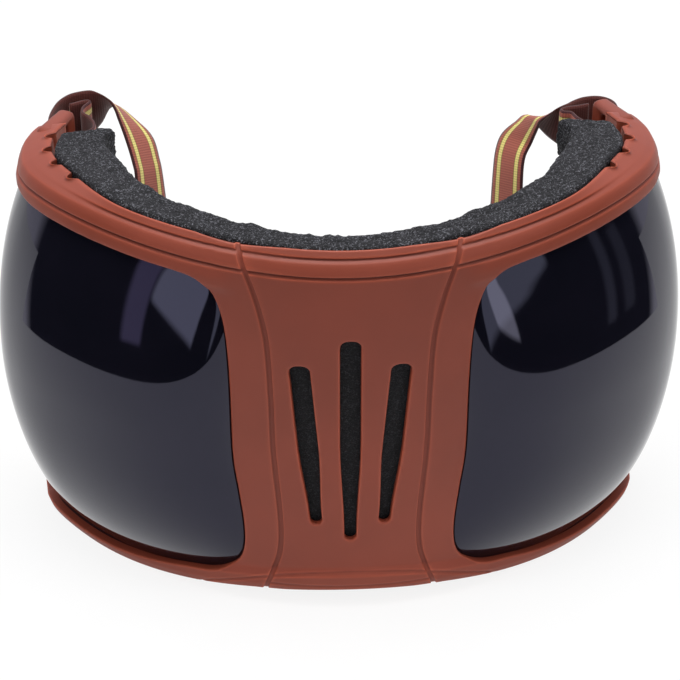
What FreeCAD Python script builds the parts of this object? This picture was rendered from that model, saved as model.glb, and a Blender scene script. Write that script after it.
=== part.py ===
import FreeCAD, Part
import math
import os
from FreeCAD import Vector

os.makedirs("parts", exist_ok=True)
doc = FreeCAD.newDocument("horse_goggles")

# Driving dimensions in millimetres and degrees, kept in the document's sheet.
# Depths are measured inward from the frame's outer line, runs along that line from the nose.
DRIVING = (
    ("front_radius", 152.0),
    ("front_sweep", 58.0),
    ("corner_radius", 79.0),
    ("corner_end", 84.0),
    ("arm_radius", 34.0),
    ("arm_end", 118.0),
    ("nose_height", 158.5),
    ("top_rise", 6.0),
    ("nose_arch", 8.0),
    ("rise_sweep", 48.0),
    ("bottom_draw_in", 5.0),
    ("draw_in_sweep", 56.0),
    ("origin_back", 88.4),
    ("nose_depth", 7.0),
    ("arm_depth", 12.0),
    ("rim_slope_depth", 3.2),
    ("rim_slope_drop", 3.2),
    ("rim_band_drop", 9.8),
    ("lip_drop", 16.0),
    ("lip_thickness", 2.0),
    ("bottom_lip_out", 2.0),
    ("bottom_lip_height", 7.5),
    ("bottom_lip_drop", 11.0),
    ("channel_drop", 11.0),
    ("bottom_channel_drop", 6.0),
    ("back_edge_drop", 17.5),
    ("back_wall_depth", 5.0),
    ("panel_thickness", 3.6),
    ("groove_width", 2.4),
    ("groove_half_span", 33.0),
    ("web_thickness", 1.6),
    ("fit_gap", 0.3),
    ("lens_start", 40.0),
    ("lens_stop", 201.0),
    ("lens_seat", 5.0),
    ("lens_thickness", 2.4),
    ("lens_bulge", 18.0),
    ("dome_start", 50.0),
    ("dome_rise_near", 28.0),
    ("dome_rise_far", 16.0),
    ("window_corner", 18.0),
    ("tab_length", 24.0),
    ("tab_depth", 10.5),
    ("tab_height", 34.0),
    ("tab_drop", 5.5),
    ("tab_thickness", 7.6),
    ("slot_length", 9.0),
    ("slot_height", 26.0),
    ("notch_width", 4.5),
    ("notch_depth", 4.5),
    ("notch_drop", 7.0),
    ("notch_run", 186.0),
    ("notch_pitch", 16.5),
    ("vent_width", 8.6),
    ("vent_end_width", 5.0),
    ("vent_top", 128.5),
    ("vent_shoulder", 72.0),
    ("vent_bottom", 33.0),
    ("side_vent_top", 116.5),
    ("side_vent_bottom", 41.0),
    ("side_vent_top_offset", 20.7),
    ("side_vent_bottom_offset", 14.4),
    ("filter_thickness", 3.0),
    ("filter_margin", 8.0),
    ("foam_height", 18.0),
    ("foam_proud", 1.5),
    ("foam_nose_thickness", 13.0),
    ("foam_side_thickness", 21.0),
    ("foam_stop", 186.0),
    ("foam_rear_run", 20.0),
    ("strap_width", 21.0),
    ("strap_thickness", 1.6),
    ("strap_drop", 5.0),
    ("strap_reach", 100.0),
    ("strap_foot_inset", 39.5),
    ("strap_foot_back", 3.5),
    ("strap_lying_run", 46.0),
    ("strap_lying_turn", 64.0),
    ("strap_tail_run", 26.0),
    ("stitch_length", 3.0),
    ("stitch_proud", 0.5),
    ("stitch_height", 17.0),
    ("buckle_width", 34.0),
    ("buckle_thickness", 9.0),
    ("buckle_wall", 1.8),
    ("bar_radius", 1.6),
    ("bar_slot", 5.0),
    ("socket_length", 30.0),
    ("plug_base_length", 12.0),
    ("tongue_length", 15.0),
    ("tongue_width", 7.0),
    ("prong_length", 20.0),
    ("prong_width", 4.5),
    ("prong_hook", 2.4),
    ("prong_hook_length", 7.0),
    ("side_window_length", 9.0),
    ("keeper_length", 8.0),
    ("keeper_wall", 1.4),
    ("keeper_gap", 0.4),
    ("keeper_run", 20.0),
)
sheet = doc.addObject("Spreadsheet::Sheet", "sizes")
for row, (alias, value) in enumerate(DRIVING, 1):
    sheet.set("A%d" % row, alias)
    sheet.set("B%d" % row, str(value))
    sheet.setAlias("B%d" % row, alias)
doc.recompute()


def size(name):
    return float(sheet.get(name))


RIGHT = 1
LEFT = -1
SIDES = (("right", RIGHT), ("left", LEFT))
UP = Vector(0, 0, 1)
fit_gap = size("fit_gap")

# The frame's outer line seen from above

front_radius = size("front_radius")
front_sweep = math.radians(size("front_sweep"))
corner_radius = size("corner_radius")
corner_end = math.radians(size("corner_end"))
arm_radius = size("arm_radius")
arm_end = math.radians(size("arm_end"))
origin_back = size("origin_back")


def arc_chain():
    """The arcs of the line: first run, last run, first turn, radius and middle of each."""
    chain = []
    run, turn, radius, middle = 0, 0, front_radius, Vector(0, front_radius - origin_back, 0)
    for last_turn, next_radius in ((front_sweep, corner_radius), (corner_end, arm_radius),
                                   (arm_end, arm_radius)):
        stop = run + radius * (last_turn - turn)
        chain.append((run, stop, turn, radius, middle))
        shift = radius - next_radius
        middle = middle + Vector(math.sin(last_turn), -math.cos(last_turn), 0) * shift
        run, turn, radius = stop, last_turn, next_radius
    return chain


ARCS = arc_chain()
arm_start = ARCS[-1][1]


def outline(run):
    """Place and heading of the outer line at a run along it, for the right side."""
    for start, stop, turn, radius, middle in ARCS:
        heading = turn + (min(run, stop) - start) / radius
        if run <= stop:
            break
    straight = max(run - arm_start, 0)
    x = middle.x + radius * math.sin(heading) + straight * math.cos(heading)
    y = middle.y - radius * math.cos(heading) + straight * math.sin(heading)
    return x, y, heading


def ease(share):
    share = min(max(share, 0), 1)
    return share * share * (3 - 2 * share)


# The bottom line runs a little past the table, so that the flat sole is cut cleanly.
SOLE_CUT_SHARE = 1.1


def rise(run):
    return ease(outline(run)[2] / math.radians(size("rise_sweep")))


def top(run):
    return size("nose_arch") + size("nose_height") + size("top_rise") * rise(run)


def bottom(run):
    return size("nose_arch") * (1 - SOLE_CUT_SHARE * rise(run))


def sole(run):
    """Height of the foam's underside: the arched bottom without its cut allowance."""
    return size("nose_arch") * (1 - rise(run)) + size("fit_gap")


def at(run, depth, height):
    """Point at a run, a depth behind the outer line and a height; runs below 0 lie left."""
    side = RIGHT if run >= 0 else LEFT
    run = abs(run)
    x, y, turn = outline(run)
    low_share = 1 - (height - bottom(run)) / (top(run) - bottom(run))
    draw_in = size("bottom_draw_in") * ease(turn / math.radians(size("draw_in_sweep")))
    inward = depth + draw_in * low_share
    return Vector(side * (x - math.sin(turn) * inward), y + math.cos(turn) * inward, height)


def polygon(points):
    return Part.makePolygon(list(points) + [points[0]])


def runs_between(start, stop, count):
    return [start + (stop - start) * step / (count - 1) for step in range(count)]


def strip(start, stop, count, profile):
    """Solid along the outer line, with the closed profile (depth, height) at each run."""
    wires = []
    for run in runs_between(start, stop, count):
        wires.append(polygon([at(run, depth, height) for depth, height in profile(abs(run))]))
    return Part.makeLoft(wires, True, False)


def mirror(shape):
    return shape.mirror(Vector(0, 0, 0), Vector(1, 0, 0))


def add_solid(label, shape, side=RIGHT):
    node = doc.addObject("Part::Feature", label)
    node.Label = label
    node.Shape = shape if side == RIGHT else mirror(shape)
    node.Placement = FreeCAD.Placement()
    return node


# Frame profiles, as pairs of depth and height

nose_depth = size("nose_depth")
arm_depth = size("arm_depth")
slope_depth = size("rim_slope_depth")
slope_drop = size("rim_slope_drop")
band_drop = size("rim_band_drop")
lip_drop = size("lip_drop")
bottom_lip_out = size("bottom_lip_out")
bottom_lip_height = size("bottom_lip_height")
bottom_lip_drop = size("bottom_lip_drop")
panel_thickness = size("panel_thickness")
back_edge_drop = size("back_edge_drop")
FLANGE_GROWTH_START_SHARE = 0.42
FLANGE_GROWTH_SHARE = 0.4
SOLE_SHARE = 0.35


def flange_depth(run):
    growth = (run / arm_start - FLANGE_GROWTH_START_SHARE) / FLANGE_GROWTH_SHARE
    return nose_depth + (arm_depth - nose_depth) * ease(growth)


def wing_profile(run):
    high, low, back = top(run), bottom(run), flange_depth(run)
    return (
        (back, high), (slope_depth, high - slope_drop), (0, high - band_drop),
        (0, high - lip_drop), (0, low + bottom_lip_drop),
        (-bottom_lip_out, low + bottom_lip_height),
        (-bottom_lip_out * SOLE_SHARE, low), (back, low),
    )


def nose_profile(run):
    high, low, back = top(run), bottom(run), flange_depth(run)
    return (
        (back, high), (slope_depth, high - slope_drop), (0, high - band_drop),
        (0, low + bottom_lip_drop), (-bottom_lip_out, low + bottom_lip_height),
        (-bottom_lip_out * SOLE_SHARE, low), (back, low), (back, low + back_edge_drop),
        (panel_thickness, low + back_edge_drop), (panel_thickness, high - back_edge_drop),
        (back, high - back_edge_drop),
    )


def band(start, stop, count, near, far, drop, bottom_drop):
    """Block between two depths, held back from the top and bottom edges."""
    def profile(run):
        high, low = top(run) - drop, bottom(run) + bottom_drop
        return (near, high), (near, low), (far, low), (far, high)
    return strip(start, stop, count, profile)


# Centre of the frame: the nose panel with its three vents, between the two flex grooves

groove_width = size("groove_width")
groove_run = front_radius * math.asin(size("groove_half_span") / front_radius)
nose_stop = groove_run - groove_width / 2
wing_start = groove_run + groove_width / 2
web_thickness = size("web_thickness")
NOSE_STATIONS = 9


def vent(half_top, half_bottom, head, foot, top_offset, foot_offset):
    """Tapered slot with round ends, cut from front to back."""
    shoulder = size("vent_shoulder")
    front = -origin_back - nose_depth * 2
    crown, toe = head - half_top, foot + half_bottom
    shoulder_offset = foot_offset + (top_offset - foot_offset) * (shoulder - foot) / (head - foot)

    def corner(offset, reach, height):
        return Vector(offset + reach, front, height)
    arch = (corner(top_offset, -half_top, crown), corner(top_offset, 0, head),
            corner(top_offset, half_top, crown))
    cup = (corner(foot_offset, half_bottom, toe), corner(foot_offset, 0, foot),
           corner(foot_offset, -half_bottom, toe))
    left_mid = corner(shoulder_offset, -half_top, shoulder)
    right_mid = corner(shoulder_offset, half_top, shoulder)
    edge = Part.Wire([
        Part.Arc(*arch).toShape(),
        Part.makeLine(arch[2], right_mid),
        Part.makeLine(right_mid, cup[0]),
        Part.Arc(*cup).toShape(),
        Part.makeLine(cup[2], left_mid),
        Part.makeLine(left_mid, arch[0]),
    ])
    return Part.Face(edge).extrude(Vector(0, nose_depth * 6, 0))


def nose_frame():
    panel = strip(-nose_stop, nose_stop, NOSE_STATIONS, nose_profile)
    web_back, web_drop = nose_depth - fit_gap, slope_drop + 2 * fit_gap
    web = band(nose_stop - fit_gap, wing_start - fit_gap, 3,
               web_back - web_thickness, web_back, web_drop, web_drop)
    half_vent = size("vent_width") / 2
    half_end = size("vent_end_width") / 2
    cuts = [vent(half_vent, half_end, size("vent_top"), size("vent_bottom"), 0, 0)]
    for side in (RIGHT, LEFT):
        cuts.append(vent(half_vent, half_end, size("side_vent_top"), size("side_vent_bottom"),
                         side * size("side_vent_top_offset"),
                         side * size("side_vent_bottom_offset")))
    return panel.fuse([web, mirror(web)]).cut(cuts).removeSplitter()


# Wings of the frame: rim and lens channel, then the tab with its strap slot and post

back_wall_depth = size("back_wall_depth")
lip_thickness = size("lip_thickness")
lens_start = size("lens_start")
lens_stop = size("lens_stop")
lens_seat = size("lens_seat")
channel_drop = size("channel_drop")
bottom_channel_drop = size("bottom_channel_drop")
window_corner = size("window_corner")
tab_length = size("tab_length")
tab_height = size("tab_height")
tab_thickness = size("tab_thickness")
tab_depth = size("tab_depth")
tab_top = top(arm_start) - size("tab_drop")
slot_length = size("slot_length")
slot_middle = tab_top - tab_height / 2
post_radius = tab_thickness / 2
post_run = arm_start + tab_length - post_radius
STATIONS = 15

# Rounded ends of the lens opening: share of the corner's run, then of the half height
# that is open above and below the middle.
NOSE_END_SHARES = (
    (0, -0.45, 0.75), (0.08, -0.05, 0.84), (0.2, 0.45, 0.88),
    (0.35, 0.72, 0.92), (0.6, 0.9, 0.96), (1, 1, 1),
)
ARM_END_SHARES = ((0, 0.72, 0.72), (0.18, 0.86, 0.86), (0.5, 0.96, 0.96), (1, 1, 1))


def window(near, far, drop, bottom_drop):
    """Cutter with rounded ends, standing through the wing between two depths."""
    start, stop = lens_start + lens_seat, lens_stop - lens_seat
    places = [(start + share * window_corner, up, down) for share, up, down in NOSE_END_SHARES]
    inner = runs_between(start + window_corner, stop - window_corner, STATIONS)[1:-1]
    places += [(run, 1, 1) for run in inner]
    places += [(stop - share * window_corner, up, down)
               for share, up, down in reversed(ARM_END_SHARES)]
    wires = []
    for run, up, down in places:
        high, low = top(run) - drop, bottom(run) + bottom_drop
        middle, half = (high + low) / 2, (high - low) / 2
        corners = ((near, middle + half * up), (near, middle - half * down),
                   (far, middle - half * down), (far, middle + half * up))
        wires.append(polygon([at(run, depth, height) for depth, height in corners]))
    return Part.makeLoft(wires, True, True)


def arm_point(run, depth, height):
    """Point on the straight arm, whose sides stay upright."""
    x, y, turn = outline(arm_start)
    along, inward = run - arm_start, depth
    return Vector(x + math.cos(turn) * along - math.sin(turn) * inward,
                  y + math.sin(turn) * along + math.cos(turn) * inward, height)


def arm_block(start, stop, thickness, low, high):
    near, far = tab_depth - thickness / 2, tab_depth + thickness / 2
    base = polygon([arm_point(start, near, low), arm_point(stop, near, low),
                    arm_point(stop, far, low), arm_point(start, far, low)])
    return Part.Face(base).extrude(UP * (high - low))


def notches():
    """Breathing notches in the inner edge of the top rim, towards the arm."""
    cuts = []
    for step in range(4):
        start = size("notch_run") - size("notch_pitch") * step
        stop = start + size("notch_width")

        def profile(run):
            near, far = flange_depth(run) - size("notch_depth"), flange_depth(run) * 2
            high, low = top(run) + slope_drop, top(run) - size("notch_drop")
            return (near, high), (near, low), (far, low), (far, high)
        cuts.append(strip(start, stop, 2, profile))
    return cuts


def wing_frame():
    body = strip(wing_start, arm_start, STATIONS, wing_profile)
    tab = arm_block(arm_start - tab_thickness, post_run, tab_thickness,
                    tab_top - tab_height, tab_top)
    post = Part.makeCylinder(post_radius, tab_height,
                             arm_point(post_run, tab_depth, tab_top - tab_height))
    half_slot = size("slot_height") / 2
    slot_stop = post_run - post_radius
    slot = arm_block(slot_stop - slot_length, slot_stop, tab_thickness * 3,
                     slot_middle - half_slot, slot_middle + half_slot)
    overrun = arm_depth * 2
    cuts = [
        window(-overrun, back_wall_depth, lip_drop, bottom_lip_height),
        band(lens_start, lens_stop, STATIONS, lip_thickness, back_wall_depth,
             channel_drop, bottom_channel_drop),
        window(lip_thickness, overrun, back_edge_drop, back_edge_drop),
    ]
    sole = Part.makeBox(front_radius * 4, front_radius * 4, slope_drop,
                        Vector(-front_radius * 2, -front_radius * 2, -slope_drop))
    body = body.cut(cuts + notches()).fuse([tab, post])
    return body.cut([slot, sole])


add_solid("nose_frame", nose_frame())
wing_shape = wing_frame()
for name, side in SIDES:
    add_solid(name + "_wing_frame", wing_shape, side)


# Lenses: a flat seat that sits in the channel and a dome between

lens_thickness = size("lens_thickness")
lens_bulge = size("lens_bulge")
dome_start = size("dome_start")
dome_rise = size("dome_rise_near")
dome_stop = lens_stop - lens_seat
LENS_FLAT_SHARE = 0.004
BULGE_POWER = 3


def bulge_at(run):
    """Height of the dome over its seat, rising gently from both ends."""
    share = min(max((run - dome_start) / (dome_stop - dome_start), 0), 1)
    ends = (ease((run - dome_start) / dome_rise)
            * ease((dome_stop - run) / size("dome_rise_far")))
    return lens_bulge * max((1 - abs(2 * share - 1) ** BULGE_POWER) * ends, LENS_FLAT_SHARE)


def lens_section(run):
    back = back_wall_depth - fit_gap
    front = back - lens_thickness
    high = top(run) - channel_drop - fit_gap
    low = bottom(run) + bottom_channel_drop + fit_gap
    bulge = bulge_at(run)
    dome_top, dome_low = high - lens_seat, low + lens_seat
    middle = (dome_top + dome_low) / 2
    outer = [(front, high), (front, dome_top), (front - bulge, middle),
             (front, dome_low), (front, low)]
    inner = [(back, low), (back, dome_low), (back - bulge, middle),
             (back, dome_top), (back, high)]
    outer = [at(run, depth, height) for depth, height in outer]
    inner = [at(run, depth, height) for depth, height in inner]
    edges = []
    for face, other in ((outer, inner), (inner, outer)):
        edges.append(Part.makeLine(face[0], face[1]))
        edges.append(Part.Arc(face[1], face[2], face[3]).toShape())
        edges.append(Part.makeLine(face[3], face[4]))
        edges.append(Part.makeLine(face[4], other[0]))
    return Part.Wire(edges)


fall_start = dome_stop - size("dome_rise_far")
lens_runs = [lens_start + fit_gap]
lens_runs += runs_between(lens_start + lens_seat, dome_start + dome_rise, 7)
lens_runs += runs_between(dome_start + dome_rise, fall_start, STATIONS)[1:-1]
lens_runs += runs_between(fall_start, dome_stop, 5)
lens_runs += runs_between(dome_stop, lens_stop - fit_gap, 3)[1:]
lens_shape = Part.makeLoft([lens_section(run) for run in lens_runs], True, False)
for name, side in SIDES:
    add_solid(name + "_lens", lens_shape, side)


# Foam: strips glued along the back of the rim, thicker towards the sides, and the vent filter

foam_height = size("foam_height")
foam_proud = size("foam_proud")
foam_nose = size("foam_nose_thickness")
foam_side = size("foam_side_thickness")
foam_stop = size("foam_stop")
foam_rear_start = foam_stop - size("foam_rear_run")


def foam_edges(run):
    near = flange_depth(run) + fit_gap
    growth = foam_nose + (foam_side - foam_nose) * ease(run / foam_stop)
    return near, near + growth


def foam_top_profile(run):
    near, far = foam_edges(run)
    high = top(run) + foam_proud * ease(run / foam_stop)
    return (near, high), (near, high - foam_height), (far, high - foam_height), (far, high)


def foam_bottom_profile(run):
    near, far = foam_edges(run)
    low = sole(run)
    return (near, low + foam_height), (near, low), (far, low), (far, low + foam_height)


def foam_rear_profile(run):
    near, far = foam_edges(run)
    high = top(run) + foam_proud * ease(run / foam_stop) - foam_height - fit_gap
    low = sole(run) + foam_height + fit_gap
    return (near, high), (near, low), (far, low), (far, high)


def filter_profile(run):
    near = panel_thickness + fit_gap
    far = near + size("filter_thickness")
    high = size("vent_top") + size("filter_margin")
    low = size("vent_bottom") - size("filter_margin") / 2
    return (near, high), (near, low), (far, low), (far, high)


for place, profile in (("top", foam_top_profile), ("bottom", foam_bottom_profile)):
    add_solid("nose_foam_" + place, strip(-nose_stop, nose_stop, NOSE_STATIONS, profile))
    wing_foam = strip(wing_start, foam_stop, STATIONS, profile)
    for name, side in SIDES:
        add_solid(name + "_foam_" + place, wing_foam, side)
rear_foam = strip(foam_rear_start, foam_stop, 4, foam_rear_profile)
for name, side in SIDES:
    add_solid(name + "_foam_rear", rear_foam, side)
filter_stop = nose_stop - groove_width
add_solid("vent_filter", strip(-filter_stop, filter_stop, NOSE_STATIONS, filter_profile))


# Straps: flat webbing that loops round the post, falls behind the arm and lies inside the U

strap_width = size("strap_width")
strap_thickness = size("strap_thickness")
strap_reach = size("strap_reach")
strap_middle = tab_top - size("strap_drop") - strap_width / 2
bar_radius = size("bar_radius")
bar_height = size("buckle_thickness") / 2
post_place = arm_point(post_run, tab_depth, 0)
lying_turn = math.radians(size("strap_lying_turn"))
lie_along = Vector(-math.cos(lying_turn), -math.sin(lying_turn), 0)
lie_across = Vector(math.sin(lying_turn), -math.cos(lying_turn), 0)
lying_run = size("strap_lying_run")
lying_height = size("keeper_wall") + size("keeper_gap") + strap_thickness / 2
tail_height = lying_height + strap_thickness + fit_gap
wrap_radius = bar_radius + fit_gap + strap_thickness / 2
foot = post_place + Vector(-size("strap_foot_inset"), size("strap_foot_back"), 0)
bar_place = foot + lie_along * lying_run

# The folded and sewn loop round the post: shares of the strap's reach, inward and back.
RIGHT_LOOP_SHARES = (
    (0.045, 0.112), (0.100, 0.092), (0.146, 0.082), (0.174, 0.062), (0.166, 0.038),
    (0.132, 0.030), (0.115, -0.020), (0.078, -0.075), (0.020, -0.088), (-0.030, -0.074),
    (-0.062, -0.036), (-0.074, 0.020), (-0.076, 0.080), (-0.066, 0.134), (-0.036, 0.174),
    (0.008, 0.189), (0.064, 0.176), (0.112, 0.140), (0.144, 0.108),
)
LEFT_LOOP_SHARES = (
    (0.010, 0.220), (0.045, 0.240), (0.082, 0.260), (0.099, 0.249), (0.090, 0.226),
    (0.070, 0.185), (0.070, 0.135), (0.102, 0.085), (0.126, 0.020), (0.118, -0.042),
    (0.076, -0.076), (0.026, -0.082), (-0.024, -0.076), (-0.059, -0.044), (-0.070, 0.010),
    (-0.072, 0.080), (-0.060, 0.155), (-0.036, 0.225), (0.005, 0.273), (0.050, 0.289),
    (0.094, 0.288),
)
# The fall from the loop: inward and back as above, then the share of the loop's height and
# the direction of the strap's width, upper edge first.
RIGHT_FALL_SHARES = (
    (0.190, 0.124, 1.005, (0.1, -0.4, 0.9)), (0.273, 0.169, 1.01, (0.21, -0.92, 0.34)),
    (0.307, 0.203, 0.975, (0.39, -0.88, 0.27)), (0.346, 0.227, 0.924, (0.54, -0.83, 0.15)),
    (0.375, 0.205, 0.881, (0.53, -0.83, 0.19)), (0.387, 0.169, 0.818, (0.54, -0.81, 0.22)),
    (0.392, 0.135, 0.695, (0.6, -0.78, 0.15)), (0.395, 0.100, 0.53, (0.75, -0.66, 0)),
    (0.397, 0.070, 0.33, (0.85, -0.52, 0)),
)
LEFT_FALL_SHARES = (
    (0.139, 0.310, 1.007, (0, -0.45, 0.89)), (0.196, 0.316, 1.028, (0, -0.88, 0.47)),
    (0.269, 0.295, 0.981, (0.39, -0.82, 0.42)), (0.314, 0.258, 0.932, (0.52, -0.8, 0.27)),
    (0.339, 0.215, 0.877, (0.53, -0.78, 0.3)), (0.349, 0.190, 0.84, (0.54, -0.78, 0.3)),
    (0.359, 0.155, 0.728, (0.6, -0.78, 0.15)), (0.372, 0.115, 0.563, (0.75, -0.66, 0)),
    (0.385, 0.075, 0.364, (0.85, -0.52, 0)),
)
FOOT_SHARES = ((-0.1, 0.16), (-0.08, 0.06), (0.03, 0.008))
LYING_SHARES = (0.15, 0.4, 0.65, 0.84)
WRAP_STEPS = 6
# How far the webbing's tail has sunk from the bar to the lying layer, at shares of its run.
TAIL_SHARES = ((0.14, 0.2), (0.32, 0.8), (0.45, 1), (0.7, 1), (1, 1))
SMOOTH_STEPS = 12
STRAP_STEP = 3


def strap_route(loop, fall):
    """Centres of the webbing and the direction of its width, loop first, tail last."""
    route = []
    for inward, back in loop:
        place = post_place + Vector(-inward, back, 0) * strap_reach
        route.append((place + UP * strap_middle, UP))
    for inward, back, height, width in fall:
        place = post_place + Vector(-inward, back, 0) * strap_reach
        route.append((place + UP * (height * strap_middle), Vector(*width).normalize()))
    for along, height in FOOT_SHARES:
        lift = max(height * strap_middle, lying_height)
        route.append((foot + lie_along * (along * lying_run) + UP * lift, lie_across))
    for share in LYING_SHARES:
        route.append((foot + lie_along * (share * lying_run) + UP * lying_height, lie_across))
    for step in range(WRAP_STEPS + 1):
        angle = math.pi * step / WRAP_STEPS
        ahead = lie_along * (math.sin(angle) * wrap_radius)
        lift = UP * (bar_height - math.cos(angle) * wrap_radius)
        route.append((bar_place + ahead + lift, lie_across))
    tail_run = size("strap_tail_run")
    wrap_top = bar_height + wrap_radius
    for share, sink in TAIL_SHARES:
        lift = UP * (wrap_top + (tail_height - wrap_top) * sink)
        route.append((bar_place - lie_along * (share * tail_run) + lift, lie_across))
    return route


def smooth_point(points, step, share):
    """Point on the smooth line through the points, a share of the way along one span."""
    before, start = points[max(step - 1, 0)], points[step]
    end, after = points[step + 1], points[min(step + 2, len(points) - 1)]
    leave, arrive = (end - before) * 0.5, (after - start) * 0.5
    square, cube = share * share, share * share * share
    return (start * (2 * cube - 3 * square + 1) + leave * (cube - 2 * square + share)
            + end * (3 * square - 2 * cube) + arrive * (cube - square))


def even_route(route):
    """The route's points and width directions at even steps along the webbing."""
    places = [place for place, width in route]
    widths = [width for place, width in route]
    fine = []
    for step in range(len(route) - 1):
        for part in range(SMOOTH_STEPS):
            share = part / SMOOTH_STEPS
            fine.append((smooth_point(places, step, share), smooth_point(widths, step, share)))
    fine.append((places[-1], widths[-1]))
    runs = [0]
    for start, end in zip(fine, fine[1:]):
        runs.append(runs[-1] + (end[0] - start[0]).Length)
    count = round(runs[-1] / STRAP_STEP)
    even, step = [fine[0]], 0
    for number in range(1, count):
        run = runs[-1] * number / count
        while runs[step + 1] < run:
            step += 1
        share = (run - runs[step]) / (runs[step + 1] - runs[step])
        even.append(tuple(start + (end - start) * share
                          for start, end in zip(fine[step], fine[step + 1])))
    return even + [fine[-1]], runs[-1]


def webbing(route):
    """Loft of thin rectangles, each square to the route."""
    wires = []
    for step, (place, width) in enumerate(route):
        before = route[max(step - 1, 0)][0]
        after = route[min(step + 1, len(route) - 1)][0]
        along = (after - before).normalize()
        across = (width - along * width.dot(along)).normalize()
        half_width = across * (strap_width / 2)
        half_thickness = along.cross(across) * (strap_thickness / 2)
        wires.append(polygon([place - half_width - half_thickness,
                              place + half_width - half_thickness,
                              place + half_width + half_thickness,
                              place - half_width + half_thickness]))
    return Part.makeLoft(wires, True, True)


for name, side, loop, fall in (("right_strap", RIGHT, RIGHT_LOOP_SHARES, RIGHT_FALL_SHARES),
                               ("left_strap", LEFT, LEFT_LOOP_SHARES, LEFT_FALL_SHARES)):
    strap_points, strap_length = even_route(strap_route(loop, fall))
    add_solid(name, webbing(strap_points), side)
    print(name, "length", round(strap_length))


# Hardware on the straps, from boxes and cylinders bound to the sheet. Each piece is built
# along X from its bar, then laid where the webbing wraps round the bar.

OVERRUN = "sizes.buckle_thickness"
BODY_START = "sizes.bar_slot"
INNER_WIDTH = "(sizes.buckle_width - 2 * sizes.buckle_wall)"
CORE_THICKNESS = "(sizes.buckle_thickness - 2 * sizes.buckle_wall - 2 * sizes.fit_gap)"
CORE_LIFT = "(sizes.buckle_wall + sizes.fit_gap)"


def bind(node, **expressions):
    for name, expression in expressions.items():
        node.setExpression(name.replace("_", "."), expression)
    return node


def box(name, length, width, height, start="0", side="0", lift="0"):
    """Box with its width centred on the side value."""
    node = doc.addObject("Part::Box", name)
    return bind(node, Length=length, Width=width, Height=height, Placement_Base_x=start,
                Placement_Base_y=side + " - (" + width + ") / 2", Placement_Base_z=lift)


def joined(name, pieces):
    node = doc.addObject("Part::MultiFuse", name)
    node.Shapes = pieces
    return node


def carved(name, base, tool):
    node = doc.addObject("Part::Cut", name)
    node.Base = base
    node.Tool = tool
    return node


def bar(name):
    node = doc.addObject("Part::Cylinder", name)
    node.Placement.Rotation = FreeCAD.Rotation(Vector(1, 0, 0), -90)
    return bind(node, Radius="sizes.bar_radius", Height=INNER_WIDTH,
                Placement_Base_y="-" + INNER_WIDTH + " / 2",
                Placement_Base_z="sizes.buckle_thickness / 2")


def frame_with_bar(name, length):
    """Outer block whose rear end is a pair of cheeks that carry the bar."""
    block = box(name + "_block", "sizes.bar_radius + sizes.bar_slot + " + length,
                "sizes.buckle_width", "sizes.buckle_thickness", "-sizes.bar_radius")
    slot = box(name + "_bar_slot", "sizes.bar_slot + 3 * sizes.bar_radius", INNER_WIDTH,
               "2 * " + OVERRUN, "-3 * sizes.bar_radius", "0", "-sizes.buckle_thickness / 2")
    return joined(name + "_frame", [carved(name + "_cheeks", block, slot), bar(name + "_bar")])


def place_on_bar(node, side):
    """Lay a finished piece at its strap's bar, heading along the lying stretch."""
    heading = math.degrees(math.atan2(lie_along.y, side * lie_along.x))
    node.Placement = FreeCAD.Placement(Vector(side * bar_place.x, bar_place.y, 0),
                                       FreeCAD.Rotation(UP, heading))
    return node


socket = frame_with_bar("socket", "sizes.socket_length")
cavity = box("socket_cavity", "sizes.socket_length", INNER_WIDTH,
             "sizes.buckle_thickness - 2 * sizes.buckle_wall",
             BODY_START + " + sizes.buckle_wall", "0", "sizes.buckle_wall")
side_window = box("socket_side_window", "sizes.side_window_length", "2 * sizes.buckle_width",
                  "sizes.buckle_thickness - 2 * sizes.buckle_wall",
                  BODY_START + " + sizes.buckle_wall + sizes.prong_hook_length / 2",
                  "0", "sizes.buckle_wall")
hollow = joined("socket_hollow", [cavity, side_window])
place_on_bar(carved("buckle_socket", socket, hollow), RIGHT)

plug = frame_with_bar("plug", "sizes.plug_base_length")
PLUG_END = "sizes.bar_slot + sizes.plug_base_length"
tongue = box("plug_tongue", "sizes.tongue_length + sizes.buckle_wall", "sizes.tongue_width",
             CORE_THICKNESS, PLUG_END + " - sizes.buckle_wall", "0", CORE_LIFT)
place_on_bar(joined("buckle_plug", [plug, tongue]), LEFT)

PRONG_ROOT = "(" + PLUG_END + " + sizes.prong_width / 2 + sizes.fit_gap)"
PRONG_SIDE = "(sizes.buckle_width / 2 - sizes.buckle_wall - sizes.prong_width / 2)"
for name, sign in (("right", "+"), ("left", "-")):
    side_value = "0 " + sign + " " + PRONG_SIDE
    root = doc.addObject("Part::Cylinder", "prong_root_" + name)
    bind(root, Radius="sizes.prong_width / 2", Height=CORE_THICKNESS,
         Placement_Base_x=PRONG_ROOT, Placement_Base_y=side_value, Placement_Base_z=CORE_LIFT)
    arm = box("prong_arm_" + name, "sizes.prong_length", "sizes.prong_width", CORE_THICKNESS,
              PRONG_ROOT, side_value, CORE_LIFT)
    hook_side = "0 " + sign + " (" + PRONG_SIDE + " + sizes.prong_hook / 2)"
    hook = box("prong_hook_" + name, "sizes.prong_hook_length",
               "sizes.prong_width + sizes.prong_hook", CORE_THICKNESS,
               PRONG_ROOT + " + sizes.prong_length - sizes.prong_hook_length", hook_side,
               CORE_LIFT)
    place_on_bar(joined("buckle_prong_" + name, [root, arm, hook]), LEFT)

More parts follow.
